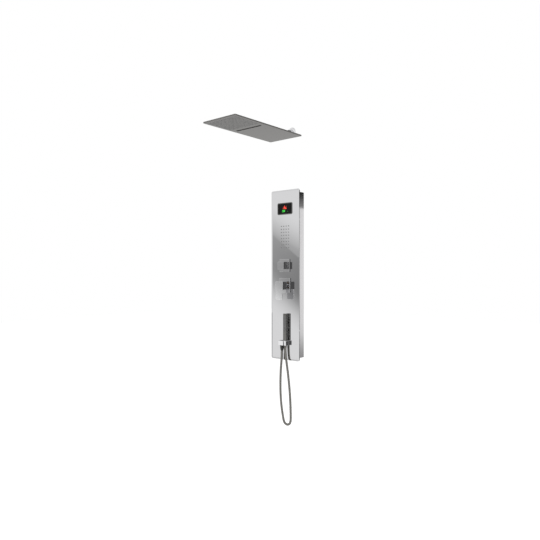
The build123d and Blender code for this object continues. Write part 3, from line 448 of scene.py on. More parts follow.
# %% Cut blocks with soft edges
def rounded(width, height, corner, middle=(0.0, 0.0), steps=6):
    """A rectangle's outline in millimetres whose corners are quarter circles."""
    quarter = np.linspace(0, np.pi / 2, steps)
    sides = []
    for number, (sign_u, sign_v) in enumerate(((1, 1), (-1, 1), (-1, -1), (1, -1))):
        angle = quarter + number * np.pi / 2
        u = middle[0] + sign_u * (width / 2 - corner) + corner * np.cos(angle)
        v = middle[1] + sign_v * (height / 2 - corner) + corner * np.sin(angle)
        sides.append(np.stack([u, v], axis=1))
    return np.vstack(sides)


def round_edges(made, edge):
    """A small rounding on every edge that turns by more than 50 degrees."""
    rounding = made.modifiers.new("round_edges", "BEVEL")
    rounding.width = edge * MM
    rounding.segments = 3
    rounding.limit_method = "ANGLE"
    rounding.angle_limit = math.radians(50)
    rounding.harden_normals = True


def block(name, outlines, levels, axis, edge, slot, body="panel"):
    """Outlines, each at its own level along an axis (0 X, 1 Y, 2 Z), joined and softened."""
    rings = [np.insert(outline, axis, level, axis=1) * MM for outline, level in zip(outlines, levels)]
    made = piece(name, rings, slot, body)
    round_edges(made, edge)
    return made


# %% Make the diverter's knob
KNOB_WIDTH = 45.0
KNOB_HEIGHT = 44.0
KNOB_FRONT = -109.6
KNOB_BACK = -75.0
DIVERTER_Z = 55.0
knob_outline = rounded(KNOB_WIDTH, KNOB_HEIGHT, 0.4, (0, DIVERTER_Z), steps=2)
knob = block("diverter_knob_block", [knob_outline] * 2, (KNOB_FRONT, KNOB_BACK), 1, 1.3, "chrome", "diverter")
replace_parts(knob, "diverter_knob")

# %% [markdown]
# The lever is one casting: a wide block round the cartridge and a flat plate that hangs from its
# front for the fingers. Its front is a single T-shaped face, so the block behind it starts where the
# plate's back is and both share the same upper outline. The plate's two lower corners are round.

# %% Make the mixer's lever
LEVER_FRONT = -124.5
PLATE_BACK = -118.0
LEVER_BACK = -85.0
LEVER_TOP = -38.5
BLOCK_FOOT = -85.5
PLATE_FOOT = -145.5
BLOCK_HALF = 28.0
PLATE_HALF = 24.0
PLATE_CORNER = 7.0
HOLLOW_HALF = 22.0
HOLLOW_MIDDLE_Z = -62.0
HOLLOW_FLOOR = -94.5


def lever_mesh():
    """The block and plate as one mesh: T-shaped front, plate back, block sides and a square hollow."""
    turn = np.linspace(0, np.pi / 2, 7)
    right = np.stack(
        [
            PLATE_HALF - PLATE_CORNER + PLATE_CORNER * np.cos(turn),
            PLATE_FOOT + PLATE_CORNER - PLATE_CORNER * np.sin(turn),
        ],
        axis=1,
    )
    plate = np.vstack([[[PLATE_HALF, BLOCK_FOOT]], right, right[::-1] * (-1, 1), [[-PLATE_HALF, BLOCK_FOOT]]])
    upper = np.array([[-BLOCK_HALF, BLOCK_FOOT], [-BLOCK_HALF, LEVER_TOP], [BLOCK_HALF, LEVER_TOP], [BLOCK_HALF, BLOCK_FOOT]])
    front = np.vstack([plate, upper])
    count, plate_count = len(front), len(plate)
    points = [np.insert(front, 1, LEVER_FRONT, axis=1), np.insert(plate, 1, PLATE_BACK, axis=1)]
    points.append(np.insert(upper, 1, LEVER_BACK, axis=1))
    signs = np.array([(-1, -1), (-1, 1), (1, 1), (1, -1)])
    hollow = signs * HOLLOW_HALF + (0, HOLLOW_MIDDLE_Z)
    points += [np.insert(hollow, 1, level, axis=1) for level in (LEVER_BACK, HOLLOW_FLOOR)]
    back, rear = count, count + plate_count
    rim, floor = rear + 4, rear + 8
    faces = [list(range(count))]
    faces += [[step, step + 1, back + step + 1, back + step] for step in range(plate_count - 1)]
    faces.append([back + step for step in range(plate_count)][::-1])
    left_foot, left_top, right_top, right_foot = range(plate_count, count)
    faces += [[left_foot, left_top, rear + 1, rear], [left_top, right_top, rear + 2, rear + 1]]
    faces += [[right_top, right_foot, rear + 3, rear + 2], [floor, floor + 1, floor + 2, floor + 3]]
    for outer, inner in ((rear, rim), (rim, floor)):
        for step in range(4):
            beside = (step + 1) % 4
            faces.append([outer + step, outer + beside, inner + beside, inner + step])
    faces.append([rear + 3, right_foot, 0, back, back + plate_count - 1, plate_count - 1, left_foot, rear])
    mesh = bpy.data.meshes.new("lever")
    mesh.from_pydata((np.vstack(points) * MM).tolist(), [], faces)
    return mesh


def lever_piece():
    """The lever's mesh with its faces turned outwards and its finish on."""
    mesh = lever_mesh()
    shape = bmesh.new()
    shape.from_mesh(mesh)
    bmesh.ops.recalc_face_normals(shape, faces=shape.faces)
    shape.to_mesh(mesh)
    shape.free()
    mesh.shade_smooth()
    mesh.set_sharp_from_angle(angle=SHARP_ANGLE)
    made = bpy.data.objects.new("mixer_lever_handle", mesh)
    bpy.context.scene.collection.objects.link(made)
    mesh.materials.append(materials["chrome"])
    mesh.materials.append(materials["plate_chrome"])
    mesh.materials.append(materials["edge_chrome"])
    # The front face takes the brighter copy of chrome: painted light on the lever's front.
    mesh.polygons[0].material_index = 1
    for face in mesh.polygons:
        if face.center.z < BLOCK_FOOT * MM and abs(face.normal.y) < 0.5:
            face.material_index = 2
    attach(made, "mixer_lever")
    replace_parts(made, "lever_handle")
    round_edges(made, 1.0)
    print("lever", len(mesh.vertices), "points")


lever_piece()

# %% [markdown]
# The cradle is a square block with a tapered seat, open to the front, for the hand shower's cone
# nut. The seat's outline is a slot that ends in a round. It is wider at the top than at the foot,
# so the two rings differ only in the round's radius.

# %% Make the cradle block
CRADLE_X = 15.0
CRADLE_HALF = 29.0
CRADLE_FRONT = -96.0
CRADLE_BACK = -68.0
CRADLE_TOP = -386.0
CRADLE_FOOT = -413.0
SLOT_HALF = 7.3
SEAT_TOP_RADIUS = 11.2
SEAT_FOOT_RADIUS = 8.5


def cradle_outline(radius):
    """The block from above: straight sides, a slot, and a round seat of this radius behind it."""
    open_angle = math.asin(SLOT_HALF / radius)
    angle = np.linspace(-math.pi / 2 - open_angle, -1.5 * math.pi - (math.pi / 2 - open_angle), 19)
    seat = np.stack([CRADLE_X + radius * np.cos(angle), HOSE_Y + radius * np.sin(angle)], axis=1)
    left = [(-CRADLE_HALF, CRADLE_BACK), (-CRADLE_HALF, CRADLE_FRONT), (CRADLE_X - SLOT_HALF, CRADLE_FRONT)]
    right = [(CRADLE_X + SLOT_HALF, CRADLE_FRONT), (CRADLE_HALF, CRADLE_FRONT), (CRADLE_HALF, CRADLE_BACK)]
    return np.vstack([left, seat, right])


cradle_rings = [cradle_outline(SEAT_FOOT_RADIUS), cradle_outline(SEAT_TOP_RADIUS)]
cradle = block("cradle_block", cradle_rings, (CRADLE_FOOT, CRADLE_TOP), 2, 1.0, "chrome")
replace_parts(cradle, "holder_block")

# %% [markdown]
# The hand shower is a flat bar with round corners. Its spray face is a soft grey strip let into the
# front, with three columns of small rubber teats that a thumb can rub clean.

# %% Make the hand shower
BAR_X = 15.0
BAR_LOW = -384.5
BAR_JOIN = -232.2
BAR_TOP = -227.0
BAR_MIDDLE_Y = -83.0
SPRAY_Z = -285.0
SPRAY_FRONT = -91.25
bar_outline = rounded(24.0, 16.0, 3.0, (BAR_X, BAR_MIDDLE_Y))
bar = block("hand_shower_bar", [bar_outline] * 2, (BAR_LOW, BAR_JOIN), 2, 0.35, "chrome", "hand_shower")
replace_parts(bar, "handset_body")
cap = block("hand_shower_cap", [bar_outline] * 2, (BAR_JOIN + 0.2, BAR_TOP), 2, 1.0, "chrome", "hand_shower")
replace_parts(cap, "handset_cap")
# Faces that look to the front take the darker copy of the chrome: painted shade on the bar's and the cap's fronts.
for part in (bar, cap):
    part.data.materials[0] = materials["bar_chrome"]
    part.data.materials.append(materials["bar_front"])
    for face in part.data.polygons:
        face.material_index = int(face.normal.y < -0.5)
strip_outline = rounded(17.0, 92.0, 1.5, (BAR_X, SPRAY_Z))
strip = block("spray_strip", [strip_outline] * 2, (SPRAY_FRONT, -89.0), 1, 0.3, "grey_plastic", "hand_shower")
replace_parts(strip, "handset_spray_plate")

TEAT_PROFILE = np.array([(1.2, 0.0), (1.15, 0.5), (0.9, 1.1), (0.45, 1.2)]) * MM
spray_places = [
    ((BAR_X + column * 5.0) * MM, SPRAY_FRONT * MM, (SPRAY_Z + (row - 5.5) * 7.2) * MM)
    for column in (-1, 0, 1)
    for row in range(12)
]
spray_teats = piece(
    "spray_teats",
    turned(TEAT_PROFILE, (0, 0, 0), (0, -1, 0), sides=10),
    "grey_silicone",
    "hand_shower",
    places=spray_places,
)
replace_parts(spray_teats, "handset_nozzles")

# %% [markdown]
# Both ends of the hose have a long cone nut, turned on a lathe. A turned piece needs only its
# profile: pairs of a radius and a distance along the axis.

# %% Turn the cone nuts
CONE_PROFILE = [(0.0, 0.0), (10.4, 0.0), (11.0, 0.6), (11.0, 4.0), (10.7, 4.3), (8.5, 27.6), (8.2, 28.9), (7.2, 28.9)]


def cone_nut(name, foot, direction, slot, body, stands_for):
    """A cone nut from its wide end, with softened steps."""
    profile = soften(np.array(CONE_PROFILE), 0.4, steps=3) * MM
    profile[0, 0] = 0.3 * MM
    made = piece(name, turned(profile, foot, direction, sides=48), slot, body)
    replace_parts(made, stands_for)
    return made


cone_nut("outlet_cone_nut", (-0.011, -0.083, -0.413), (0, 0, -1), "dark_chrome", "panel", "outlet_nut")
cone_nut("hand_shower_cone_nut", (0.015, -0.083, -0.3845), (0, 0, -1), "chrome", "hand_shower", "handset_nut")

# %% [markdown]
# Small silicone nozzles cover the outer half of the rain head. They are repeated hundreds of times,
# so each has only a few faces and all of them share one mesh.

# %% Set the rain nozzles
RAIN_COLUMNS = 21
RAIN_ROWS = 18
RAIN_PITCH = 10.0
RAIN_FIRST_Y = -590.0
RAIN_PROFILE = np.array([(2.1, 0.0), (1.9, 0.8), (1.1, 1.4)]) * MM
rain_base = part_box("rain_nozzles")[1][2]
rain_places = [
    ((column - (RAIN_COLUMNS - 1) / 2) * RAIN_PITCH * MM, (RAIN_FIRST_Y + row * RAIN_PITCH) * MM, rain_base)
    for column in range(RAIN_COLUMNS)
    for row in range(RAIN_ROWS)
]
rain_rings = turned(RAIN_PROFILE, (0, 0, 0), (0, 0, -1), sides=8)
rain = piece("rain_nozzle_field", rain_rings, "grey_silicone", places=rain_places)
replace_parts(rain, "rain_nozzles")

# %% [markdown]
# The body jets are rubber nipples of one mat that lies behind the steel and pokes through 32 holes.
# Each nipple has a small dimple where its water comes out.

# %% Set the body jets
JET_PITCH = 18.0
JET_Z = 224.0
JET_PROFILE = np.array([(3.0, 0.0), (3.0, 2.9), (2.85, 3.3), (2.3, 3.8), (1.4, 3.7), (0.9, 3.0)]) * MM
mat_low, mat_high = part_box("jet_nozzle_mat")
jet_base = -66.4 * MM
jet_places = [
    ((column - 1.5) * JET_PITCH * MM, jet_base, (JET_Z + (row - 3.5) * JET_PITCH) * MM)
    for column in range(4)
    for row in range(8)
]
jets = piece("jet_nipples", turned(JET_PROFILE, (0, 0, 0), (0, -1, 0), sides=20), "grey_silicone", places=jet_places)
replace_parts(jets, "jet_nozzle_mat")
mat_outline = rounded((mat_high[0] - mat_low[0]) / MM, (mat_high[2] - mat_low[2]) / MM, 4.0, (0, JET_Z))
mat = block("jet_mat", [mat_outline] * 2, (-66.5, mat_high[1] / MM), 1, 0.4, "grey_silicone")
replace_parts(mat, "jet_nozzle_mat")

# %% [markdown]
# The head hangs from a short wall arm: a straight threaded end, a slope, and a bend down into the
# head. A nut joins its halves where the slope starts. The thread is a true helix: its radius waves
# with the angle minus a full turn for each pitch along the axis.

# %% Bend the wall arm
ARM_RADIUS = 11.0
ARM_ROUTE = [(0, 0, 853), (0, -14, 853), (0, -80, 823.6), (0, -80, 806.5)]
ARM_BEND = 14.0
ARM_SPLIT = 31.5
THREAD_PITCH = 1.814
THREAD_DEPTH = 1.0
NUT_FLATS = 27.2
NUT_LENGTH = 17.0


def thread_rings(radius, length, start, sides=40):
    """radius - depth * (1 + cos(angle - 2 pi distance / pitch)) / 2, along Y from the start."""
    distance = np.linspace(0, length, int(length / THREAD_PITCH * 8))[:, None]
    angle = np.linspace(0, 2 * np.pi, sides, endpoint=False)[None, :]
    wave = radius - THREAD_DEPTH * (1 + np.cos(angle - 2 * np.pi * distance / THREAD_PITCH)) / 2
    rings = np.stack([wave * np.cos(angle), start[1] + distance + 0 * angle, start[2] + wave * np.sin(angle)], axis=-1)
    bore = rings[-1:].repeat(2, axis=0)
    bore[:, :, 0] = 9.0 * np.cos(angle)
    bore[:, :, 2] = start[2] + 9.0 * np.sin(angle)
    bore[1, :, 1] -= 13.0
    return np.concatenate([rings, bore]) * MM


arm_path = soften(np.array(ARM_ROUTE, float), ARM_BEND, steps=10) * MM
arm_wall_part = arm_path[arm_path[:, 1] > -ARM_SPLIT * MM]
split_share = (ARM_SPLIT - 14) / (80 - 14)
arm_middle = np.array([(0, -ARM_SPLIT, 853 - split_share * (853 - 823.6))]) * MM
wall_path = np.vstack([arm_wall_part, arm_middle])
head_path = np.vstack([arm_middle, arm_path[arm_path[:, 1] <= -ARM_SPLIT * MM]])
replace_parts(piece("arm_wall_tube", tube(wall_path, ARM_RADIUS * MM, (1, 0, 0), sides=40), "chrome"), "arm_wall_pipe")
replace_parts(piece("arm_head_tube", tube(head_path, ARM_RADIUS * MM, (1, 0, 0), sides=40), "chrome"), "arm_head_pipe")
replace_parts(piece("arm_thread", thread_rings(10.48, 14.0, (0, 0, 853)), "chrome"), "arm_wall_pipe")

slope = np.array([0, -80 + 14, 823.6 - 853])
slope = slope / np.linalg.norm(slope)
nut_rings = turned(np.array([(NUT_FLATS / math.sqrt(3), 0), (NUT_FLATS / math.sqrt(3), NUT_LENGTH)]) * MM,
                   arm_middle[0] - slope * NUT_LENGTH / 2 * MM, slope, sides=6)
# The nut is real, but its near-black chrome is painted shade: it stands for the shadow round the arm's joint.
nut = piece("arm_joint_nut", nut_rings, "dark_chrome")
round_edges(nut, 1.0)
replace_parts(nut, "arm_nut")

FLANGE_PROFILE = [(11.2, 0.0), (28.0, 0.0), (28.0, 3.6), (22.6, 9.0), (11.2, 9.0)]
flange_rings = turned(soften(np.array(FLANGE_PROFILE), 1.4, steps=4, loop=True) * MM, (0, 0, 0.853), (0, -1, 0), sides=64)
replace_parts(piece("wall_flange", flange_rings, "chrome", loop=True), "arm_flange")

# %% [markdown]
# Behind the panel copper pipes carry the water from the wall to the valves and on to each outlet.
# A pipe bender leaves wide even curves, so each route's corners are softened before the tube
# follows it.

# %% Bend the water pipes
PIPE_RADIUS = 6.0
PIPE_Y = -40.0
PIPE_BEND = 26.0
LANE = 73.0
jet_pipe_low, jet_pipe_high = np.array(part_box("jet_feed_pipe")) / MM
jet_pipe_y = jet_pipe_low[1] + PIPE_RADIUS
jet_middle = (jet_pipe_low[2] + jet_pipe_high[2]) / 2
PIPES = {
    "head_feed_pipe": [("head_feed_tube", [(-29, PIPE_Y, 55), (-LANE, PIPE_Y, 55), (-LANE, PIPE_Y, 455), (-17.5, PIPE_Y, 455)])],
    "hand_feed_pipe": [("hand_feed_tube", [(29, PIPE_Y, 55), (LANE, PIPE_Y, 55), (LANE, PIPE_Y, -399.5), (6.5, PIPE_Y, -399.5)])],
    "mixed_water_pipe": [("mixed_water_tube", [(0, PIPE_Y, -30), (0, PIPE_Y, 26)])],
    "supply_pipes": [
        (f"{label}_supply_tube", [(side * 13, PIPE_Y, -94), (side * 13, PIPE_Y, -112), (side * 50, PIPE_Y, -170), (side * 50, PIPE_Y, -187.5)])
        for label, side in (("hot", -1), ("cold", 1))
    ],
    "jet_feed_pipe": [
        ("jet_feed_tube", [(0, PIPE_Y, jet_pipe_low[2]), (0, PIPE_Y, jet_middle - 8), (0, jet_pipe_y, jet_middle + 8), (0, jet_pipe_y, jet_pipe_high[2])])
    ],
}
for node_name, tubes in PIPES.items():
    across = (1, 0, 0) if node_name == "jet_feed_pipe" else (0, 1, 0)
    for tube_name, route in tubes:
        path = soften(np.array(route, float), PIPE_BEND, steps=12) * MM
        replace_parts(piece(tube_name, tube(path, PIPE_RADIUS * MM, across, sides=24), "copper_pipe"), node_name)

# %% [markdown]
# The casing's screws are domed, with a round socket. They sit in the turned-back edge of the steel,
# two on each side.

# %% Fit the side screws
SCREW_PROFILE = np.array([(2.9, 0.0), (2.85, 0.6), (2.3, 1.2), (1.5, 1.55), (1.3, 1.5), (1.2, 0.7)]) * MM
for label, side in (("left", -1), ("right", 1)):
    start = (side * 104.0 * MM, -62.7 * MM, 0)
    screws = piece(
        f"side_screws_{label}",
        turned(SCREW_PROFILE, start, (side, 0, 0), sides=24),
        "chrome",
        places=[(0, 0, -0.322), (0, 0, 0.322)],
    )
    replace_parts(screws, "side_screws")

# %% [markdown]
# Behind the dark glass the display shines through: a red flame of three drop shapes for the heat,
# a green number for the water's temperature and a small dim mark. Each figure is a thin plate just
# in front of the glass. A drop's outline is width * sin(t) * sin(t/2)^2 across and height * cos(t) up.

# %% Light the display
GLASS_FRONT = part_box("display_window")[0][1] / MM
FIGURE_PROUD = 0.12
FIGURE_BASE = GLASS_FRONT + 0.3


def glow(name, colour, strength):
    """A light-emitting finish with a faint grain in its brightness."""
    material = bpy.data.materials.new(name)
    material.use_nodes = True
    tree = material.node_tree
    shader = tree.nodes["Principled BSDF"]
    shader.inputs["Base Color"].default_value = (0.01, 0.01, 0.01, 1)
    shader.inputs["Roughness"].default_value = 0.3
    shader.inputs["Emission Strength"].default_value = strength
    grain = tree.nodes.new("ShaderNodeGroup")
    grain.node_tree = cast_skin
    grain.inputs["Scale"].default_value = 900
    tones = tree.nodes.new("ShaderNodeMix")
    tones.data_type = "RGBA"
    tones.inputs["A"].default_value = (*colour, 1)
    tones.inputs["B"].default_value = (*[0.8 * channel for channel in colour], 1)
    tree.links.new(grain.outputs["Shade"], tones.inputs["Factor"])
    tree.links.new(tones.outputs["Result"], shader.inputs["Emission Color"])
    return material


glow("flame_red", (1.0, 0.045, 0.015), 1.3)
glow("flame_dim", (0.45, 0.02, 0.01), 1.0)
glow("number_green", (0.06, 0.95, 0.08), 1.3)
glow("mark_green", (0.02, 0.30, 0.05), 1.0)


def figure(name, outlines, look):
    """Thin glowing plates, one for each outline of (x, z) points in millimetres."""
    parts = [
        piece(f"{name}_{number}", [np.insert(outline, 1, y, axis=1) * MM for y in (FIGURE_BASE, GLASS_FRONT - FIGURE_PROUD)], "display_glass")
        for number, outline in enumerate(outlines)
    ]
    for part in parts:
        part.data.materials[0] = bpy.data.materials[look]


def drop(x, z, width, height):
    """A flame's outline, pointed at the top and round at its foot."""
    t = np.linspace(0, 2 * np.pi, 28, endpoint=False)
    return np.stack([x + width * np.sin(t) * np.sin(t / 2) ** 2, z + height * np.cos(t)], axis=1)


def digit_bars(x, z, bars):
    """Seven-bar digit: the lit bars out of top, middle, foot, and the four uprights."""
    across, up, thick = 7.0, 10.5, 1.7
    layout = {
        "top": (x, z + up / 2, across, thick),
        "middle": (x, z, across, thick),
        "foot": (x, z - up / 2, across, thick),
        "upper left": (x - across / 2, z + up / 4, thick, up / 2),
        "upper right": (x + across / 2, z + up / 4, thick, up / 2),
        "lower left": (x - across / 2, z - up / 4, thick, up / 2),
        "lower right": (x + across / 2, z - up / 4, thick, up / 2),
    }
    chosen = [layout[bar] for bar in layout if bar in bars]
    return [rounded(wide + 0.4, tall + 0.4, 0.6, (u, v), steps=3) for u, v, wide, tall in chosen]


EIGHT = ("top", "middle", "foot", "upper left", "upper right", "lower left", "lower right")
THREE = ("top", "middle", "foot", "upper right", "lower right")
figure("flame_peak", [drop(-2.5, 400.0, 8.0, 10.5)], "flame_red")
figure("flame_lobe", [drop(7.0, 394.0, 8.0, 7.0)], "flame_red")
figure("flame_dim_lobe", [drop(-11.5, 394.0, 7.0, 6.5), drop(9.5, 404.5, 3.5, 4.0)], "flame_dim")
figure("number", digit_bars(-15.5, 377.0, THREE) + digit_bars(-3.5, 377.0, EIGHT), "number_green")
figure("mark", [rounded(4.0, 4.0, 1.9, (21.5, 373.0), steps=6)], "mark_green")

# %% [markdown]
# The studio is a white sweep: the sky is white to the camera and soft grey-white to mirrors. A
# mirror-bright panel shows only what stands round it, so grey cards out of the picture draw its
# tones: a dark slanted shape across its middle, a dark top on its side, and black behind the camera
# for the faces that look straight back.

# %% Light the studio
def light_path(tree, *kinds):
    """1 for any of these kinds of ray, else 0."""
    path = tree.nodes.new("ShaderNodeLightPath")
    total = path.outputs[kinds[0]]
    for kind in kinds[1:]:
        total = maths(tree, "MAXIMUM", total, path.outputs[kind])
    return total


def ramp(tree, value, stops):
    """A colour ramp of plain greys: each stop is a place from 0 to 1 and a brightness."""
    node = tree.nodes.new("ShaderNodeValToRGB")
    elements = node.color_ramp.elements
    while len(elements) < len(stops):
        elements.new(0.5)
    for element, (place, shade) in zip(elements, stops):
        element.position = place
        element.color = (shade, shade, shade, 1)
    tree.links.new(value, node.inputs["Fac"])
    return node.outputs["Color"]


def build_world():
    """White to the camera, a soft upright gradient to mirrors, an even pale light on the rest."""
    world = bpy.data.worlds.new("studio")
    bpy.context.scene.world = world
    world.use_nodes = True
    tree = world.node_tree
    background = tree.nodes["Background"]
    place = tree.nodes.new("ShaderNodeTexCoord")
    axes = tree.nodes.new("ShaderNodeSeparateXYZ")
    tree.links.new(place.outputs["Generated"], axes.inputs[0])
    height = maths(tree, "ADD", maths(tree, "MULTIPLY", axes.outputs["Z"], 0.5), 0.5)
    mirrored = ramp(tree, height, [(0.0, 0.45), (0.40, 0.80), (0.52, 1.0), (0.75, 0.92), (1.0, 0.75)])
    to_mirror = tree.nodes.new("ShaderNodeMix")
    to_mirror.data_type = "RGBA"
    to_mirror.inputs["A"].default_value = (0.72, 0.72, 0.72, 1)
    tree.links.new(light_path(tree, "Is Glossy Ray"), to_mirror.inputs["Factor"])
    tree.links.new(mirrored, to_mirror.inputs["B"])
    to_camera = tree.nodes.new("ShaderNodeMix")
    to_camera.data_type = "RGBA"
    to_camera.inputs["B"].default_value = (1, 1, 1, 1)
    tree.links.new(light_path(tree, "Is Camera Ray", "Is Transmission Ray"), to_camera.inputs["Factor"])
    tree.links.new(to_mirror.outputs["Result"], to_camera.inputs["A"])
    tree.links.new(to_camera.outputs["Result"], background.inputs["Color"])
    return world


def flat_sheet(name, corners, shade_nodes):
    """A stage sheet through four corners with its own emission, seen by mirrors alone."""
    mesh = bpy.data.meshes.new(name)
    mesh.from_pydata([tuple(corner) for corner in corners], [], [(0, 1, 2, 3)])
    card = bpy.data.objects.new(name, mesh)
    bpy.context.scene.collection.objects.link(card)
    material = bpy.data.materials.new(name)
    material.use_nodes = True
    tree = material.node_tree
    tree.nodes.clear()
    glow = tree.nodes.new("ShaderNodeEmission")
    tree.links.new(glow.outputs[0], tree.nodes.new("ShaderNodeOutputMaterial").inputs[0])
    shade = shade_nodes(tree)
    if isinstance(shade, (int, float)):
        glow.inputs["Color"].default_value = (shade, shade, shade, 1)
    else:
        tree.links.new(shade, glow.inputs["Color"])
    mesh.materials.append(material)
    card.visible_camera = False
    card.visible_diffuse = False
    card.visible_shadow = False
    card.visible_transmission = False
    return card


build_world()

# %% [markdown]
# The card for the front stands in the plane Y = -2 m. What the camera sees at a panel point comes
# from the card at that point moved away from the camera's mirror image, which is a plain scaling,
# so the shader first works back to the panel's own X and Z in millimetres and then picks a tone.
# Past the flat plate's right edge the card serves the bevelled border, which looks further to the
# right and sees heights a little closer together. Both ends of the card fade to white.

# %% Stand the cards
FRONT_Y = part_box("front_plate")[0][1]
CARD_Y = -2.0
MIRROR_Y = 2 * FRONT_Y - CAMERA_PLACE.y
CARD_SCALE = (MIRROR_Y - CARD_Y) / (MIRROR_Y - FRONT_Y)
PLATE_SIDES = (-104.0, 98.0)
BORDER_CARD_X = -0.603
BORDER_SCALE = 1.662
CARD_ENDS = (-2.5, 0.2)
CARD_FADES = (-1.9, -0.4)
CARD_FOOT = -1.28
CARD_TOP = 1.28


def tone(grey):
    """The card's brightness that shows as this 0 to 255 grey in the polished panel."""
    share = grey / 255
    linear = ((share + 0.055) / 1.055) ** 2.4
    return linear / FINISHES["polished_steel"][0][0]


def share_between(tree, value, low, high):
    """0 at the low value, 1 at the high one."""
    node = tree.nodes.new("ShaderNodeMapRange")
    node.inputs["From Min"].default_value = low
    node.inputs["From Max"].default_value = high
    tree.links.new(value, node.inputs["Value"])
    return node.outputs[0]


def place_axes(tree):
    """The X, Y and Z of a card's point in metres."""
    place = tree.nodes.new("ShaderNodeTexCoord")
    axes = tree.nodes.new("ShaderNodeSeparateXYZ")
    tree.links.new(place.outputs["Object"], axes.inputs[0])
    return axes.outputs


def worked_back(tree, value, origin, scale):
    """The panel's own place in millimetres: (value - origin) / scale + origin."""
    moved = maths(tree, "DIVIDE", maths(tree, "SUBTRACT", value, origin), scale)
    return maths(tree, "MULTIPLY", maths(tree, "ADD", moved, origin), 1000)


def panel_place(tree, axes):
    """The panel's own X, kept between the plate's sides, and Z at a point of the front card."""
    x = worked_back(tree, axes["X"], CAMERA_PLACE.x, CARD_SCALE)
    x = maths(tree, "MAXIMUM", maths(tree, "MINIMUM", x, PLATE_SIDES[1]), PLATE_SIDES[0])
    plate_end = CAMERA_PLACE.x + CARD_SCALE * (PLATE_SIDES[1] * MM - CAMERA_PLACE.x)
    share = share_between(tree, axes["X"], plate_end, BORDER_CARD_X)
    change = maths(tree, "MULTIPLY", share, BORDER_SCALE - CARD_SCALE)
    scale = maths(tree, "ADD", change, CARD_SCALE)
    return x, worked_back(tree, axes["Z"], CAMERA_PLACE.z, scale)


UPPER_TONES = [(-10, 158), (20, 164), (38, 175), (54, 181), (88, 192), (123, 202), (158, 209), (190, 213)]
LOWER_TONES = [
    (-280, 213),
    (-242, 210),
    (-205, 203),
    (-170, 193),
    (-134, 175),
    (-100, 156),
    (-63, 141),
    (-28, 132),
    (5, 131),
    (42, 135),
    (107, 138),
    (177, 146),
]


def greys(tree, value, tones):
    """The card's brightness by a value, from pairs of the value and the grey that it shows as."""
    low, high = tones[0][0], tones[-1][0]
    stops = [((place - low) / (high - low), tone(grey)) for place, grey in tones]
    return ramp(tree, share_between(tree, value, low, high), stops)


def front_tones(tree, x, z):
    """Pale above, a slanted edge down to mid grey, darkest past the middle, pale again below."""
    above = maths(tree, "ADD", z, maths(tree, "MULTIPLY", x, 0.705))
    upper_way = maths(tree, "SUBTRACT", maths(tree, "ADD", z, maths(tree, "MULTIPLY", x, 0.495)), 172.2)
    lower_way = maths(tree, "ADD", z, maths(tree, "MULTIPLY", x, 0.71))
    fade = share_between(tree, lower_way, -120, -40)
    sideways = maths(tree, "MULTIPLY", maths(tree, "MULTIPLY", x, -0.0016), fade)
    shaded = tree.nodes.new("ShaderNodeMix")
    shaded.data_type = "RGBA"
    shaded.blend_type = "MULTIPLY"
    shaded.inputs["Factor"].default_value = 1.0
    tree.links.new(greys(tree, lower_way, LOWER_TONES), shaded.inputs["A"])
    tree.links.new(maths(tree, "ADD", sideways, 1.0), shaded.inputs["B"])
    mix = tree.nodes.new("ShaderNodeMix")
    mix.data_type = "RGBA"
    tree.links.new(share_between(tree, above, 168, 176), mix.inputs["Factor"])
    tree.links.new(shaded.outputs["Result"], mix.inputs["A"])
    tree.links.new(greys(tree, upper_way, UPPER_TONES), mix.inputs["B"])
    return mix.outputs["Result"]


def faded_tones(tree):
    """The front's tones, turning to white towards the card's two ends."""
    axes = place_axes(tree)
    left = share_between(tree, axes["X"], CARD_ENDS[0], CARD_FADES[0])
    right = share_between(tree, axes["X"], CARD_ENDS[1], CARD_FADES[1])
    mix = tree.nodes.new("ShaderNodeMix")
    mix.data_type = "RGBA"
    mix.inputs["A"].default_value = (1, 1, 1, 1)
    tree.links.new(maths(tree, "MINIMUM", left, right), mix.inputs["Factor"])
    tree.links.new(front_tones(tree, *panel_place(tree, axes)), mix.inputs["B"])
    return mix.outputs["Result"]


def front_card():
    """The wide card that the front plate and its right border mirror."""
    left, right = CARD_ENDS
    corners = [(left, CARD_Y, CARD_FOOT), (right, CARD_Y, CARD_FOOT)]
    corners += [(right, CARD_Y, CARD_TOP), (left, CARD_Y, CARD_TOP)]
    return flat_sheet("front_card", corners, faded_tones)


SIDE_X = 2.0
HOUSING_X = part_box("side_profiles")[1][0]
SIDE_MIRROR_X = 2 * HOUSING_X - CAMERA_PLACE.x
SIDE_SCALE = (SIDE_X - SIDE_MIRROR_X) / (HOUSING_X - SIDE_MIRROR_X)


SIDE_TONES = [
    (-500, 140),
    (-450, 155),
    (-415, 172),
    (-380, 188),
    (-345, 203),
    (-275, 212),
    (0, 216),
    (387, 214),
    (393, 124),
    (424, 104),
    (459, 60),
    (476, 46),
    (500, 36),
]
LIP_IMAGE_Y = 2.455


def side_tones(tree):
    """Nearly black at the housing's top, pale below, mid grey at its foot, darker on the plate's lip."""
    axes = place_axes(tree)
    z = worked_back(tree, axes["Z"], CAMERA_PLACE.z, SIDE_SCALE)
    shade = tree.nodes.new("ShaderNodeMix")
    shade.data_type = "RGBA"
    shade.blend_type = "MULTIPLY"
    shade.inputs["Factor"].default_value = 1.0
    lip = share_between(tree, axes["Y"], LIP_IMAGE_Y - 0.004, LIP_IMAGE_Y + 0.004)
    tree.links.new(greys(tree, z, SIDE_TONES), shade.inputs["A"])
    tree.links.new(maths(tree, "ADD", maths(tree, "MULTIPLY", lip, 0.5), 0.5), shade.inputs["B"])
    return shade.outputs["Result"]


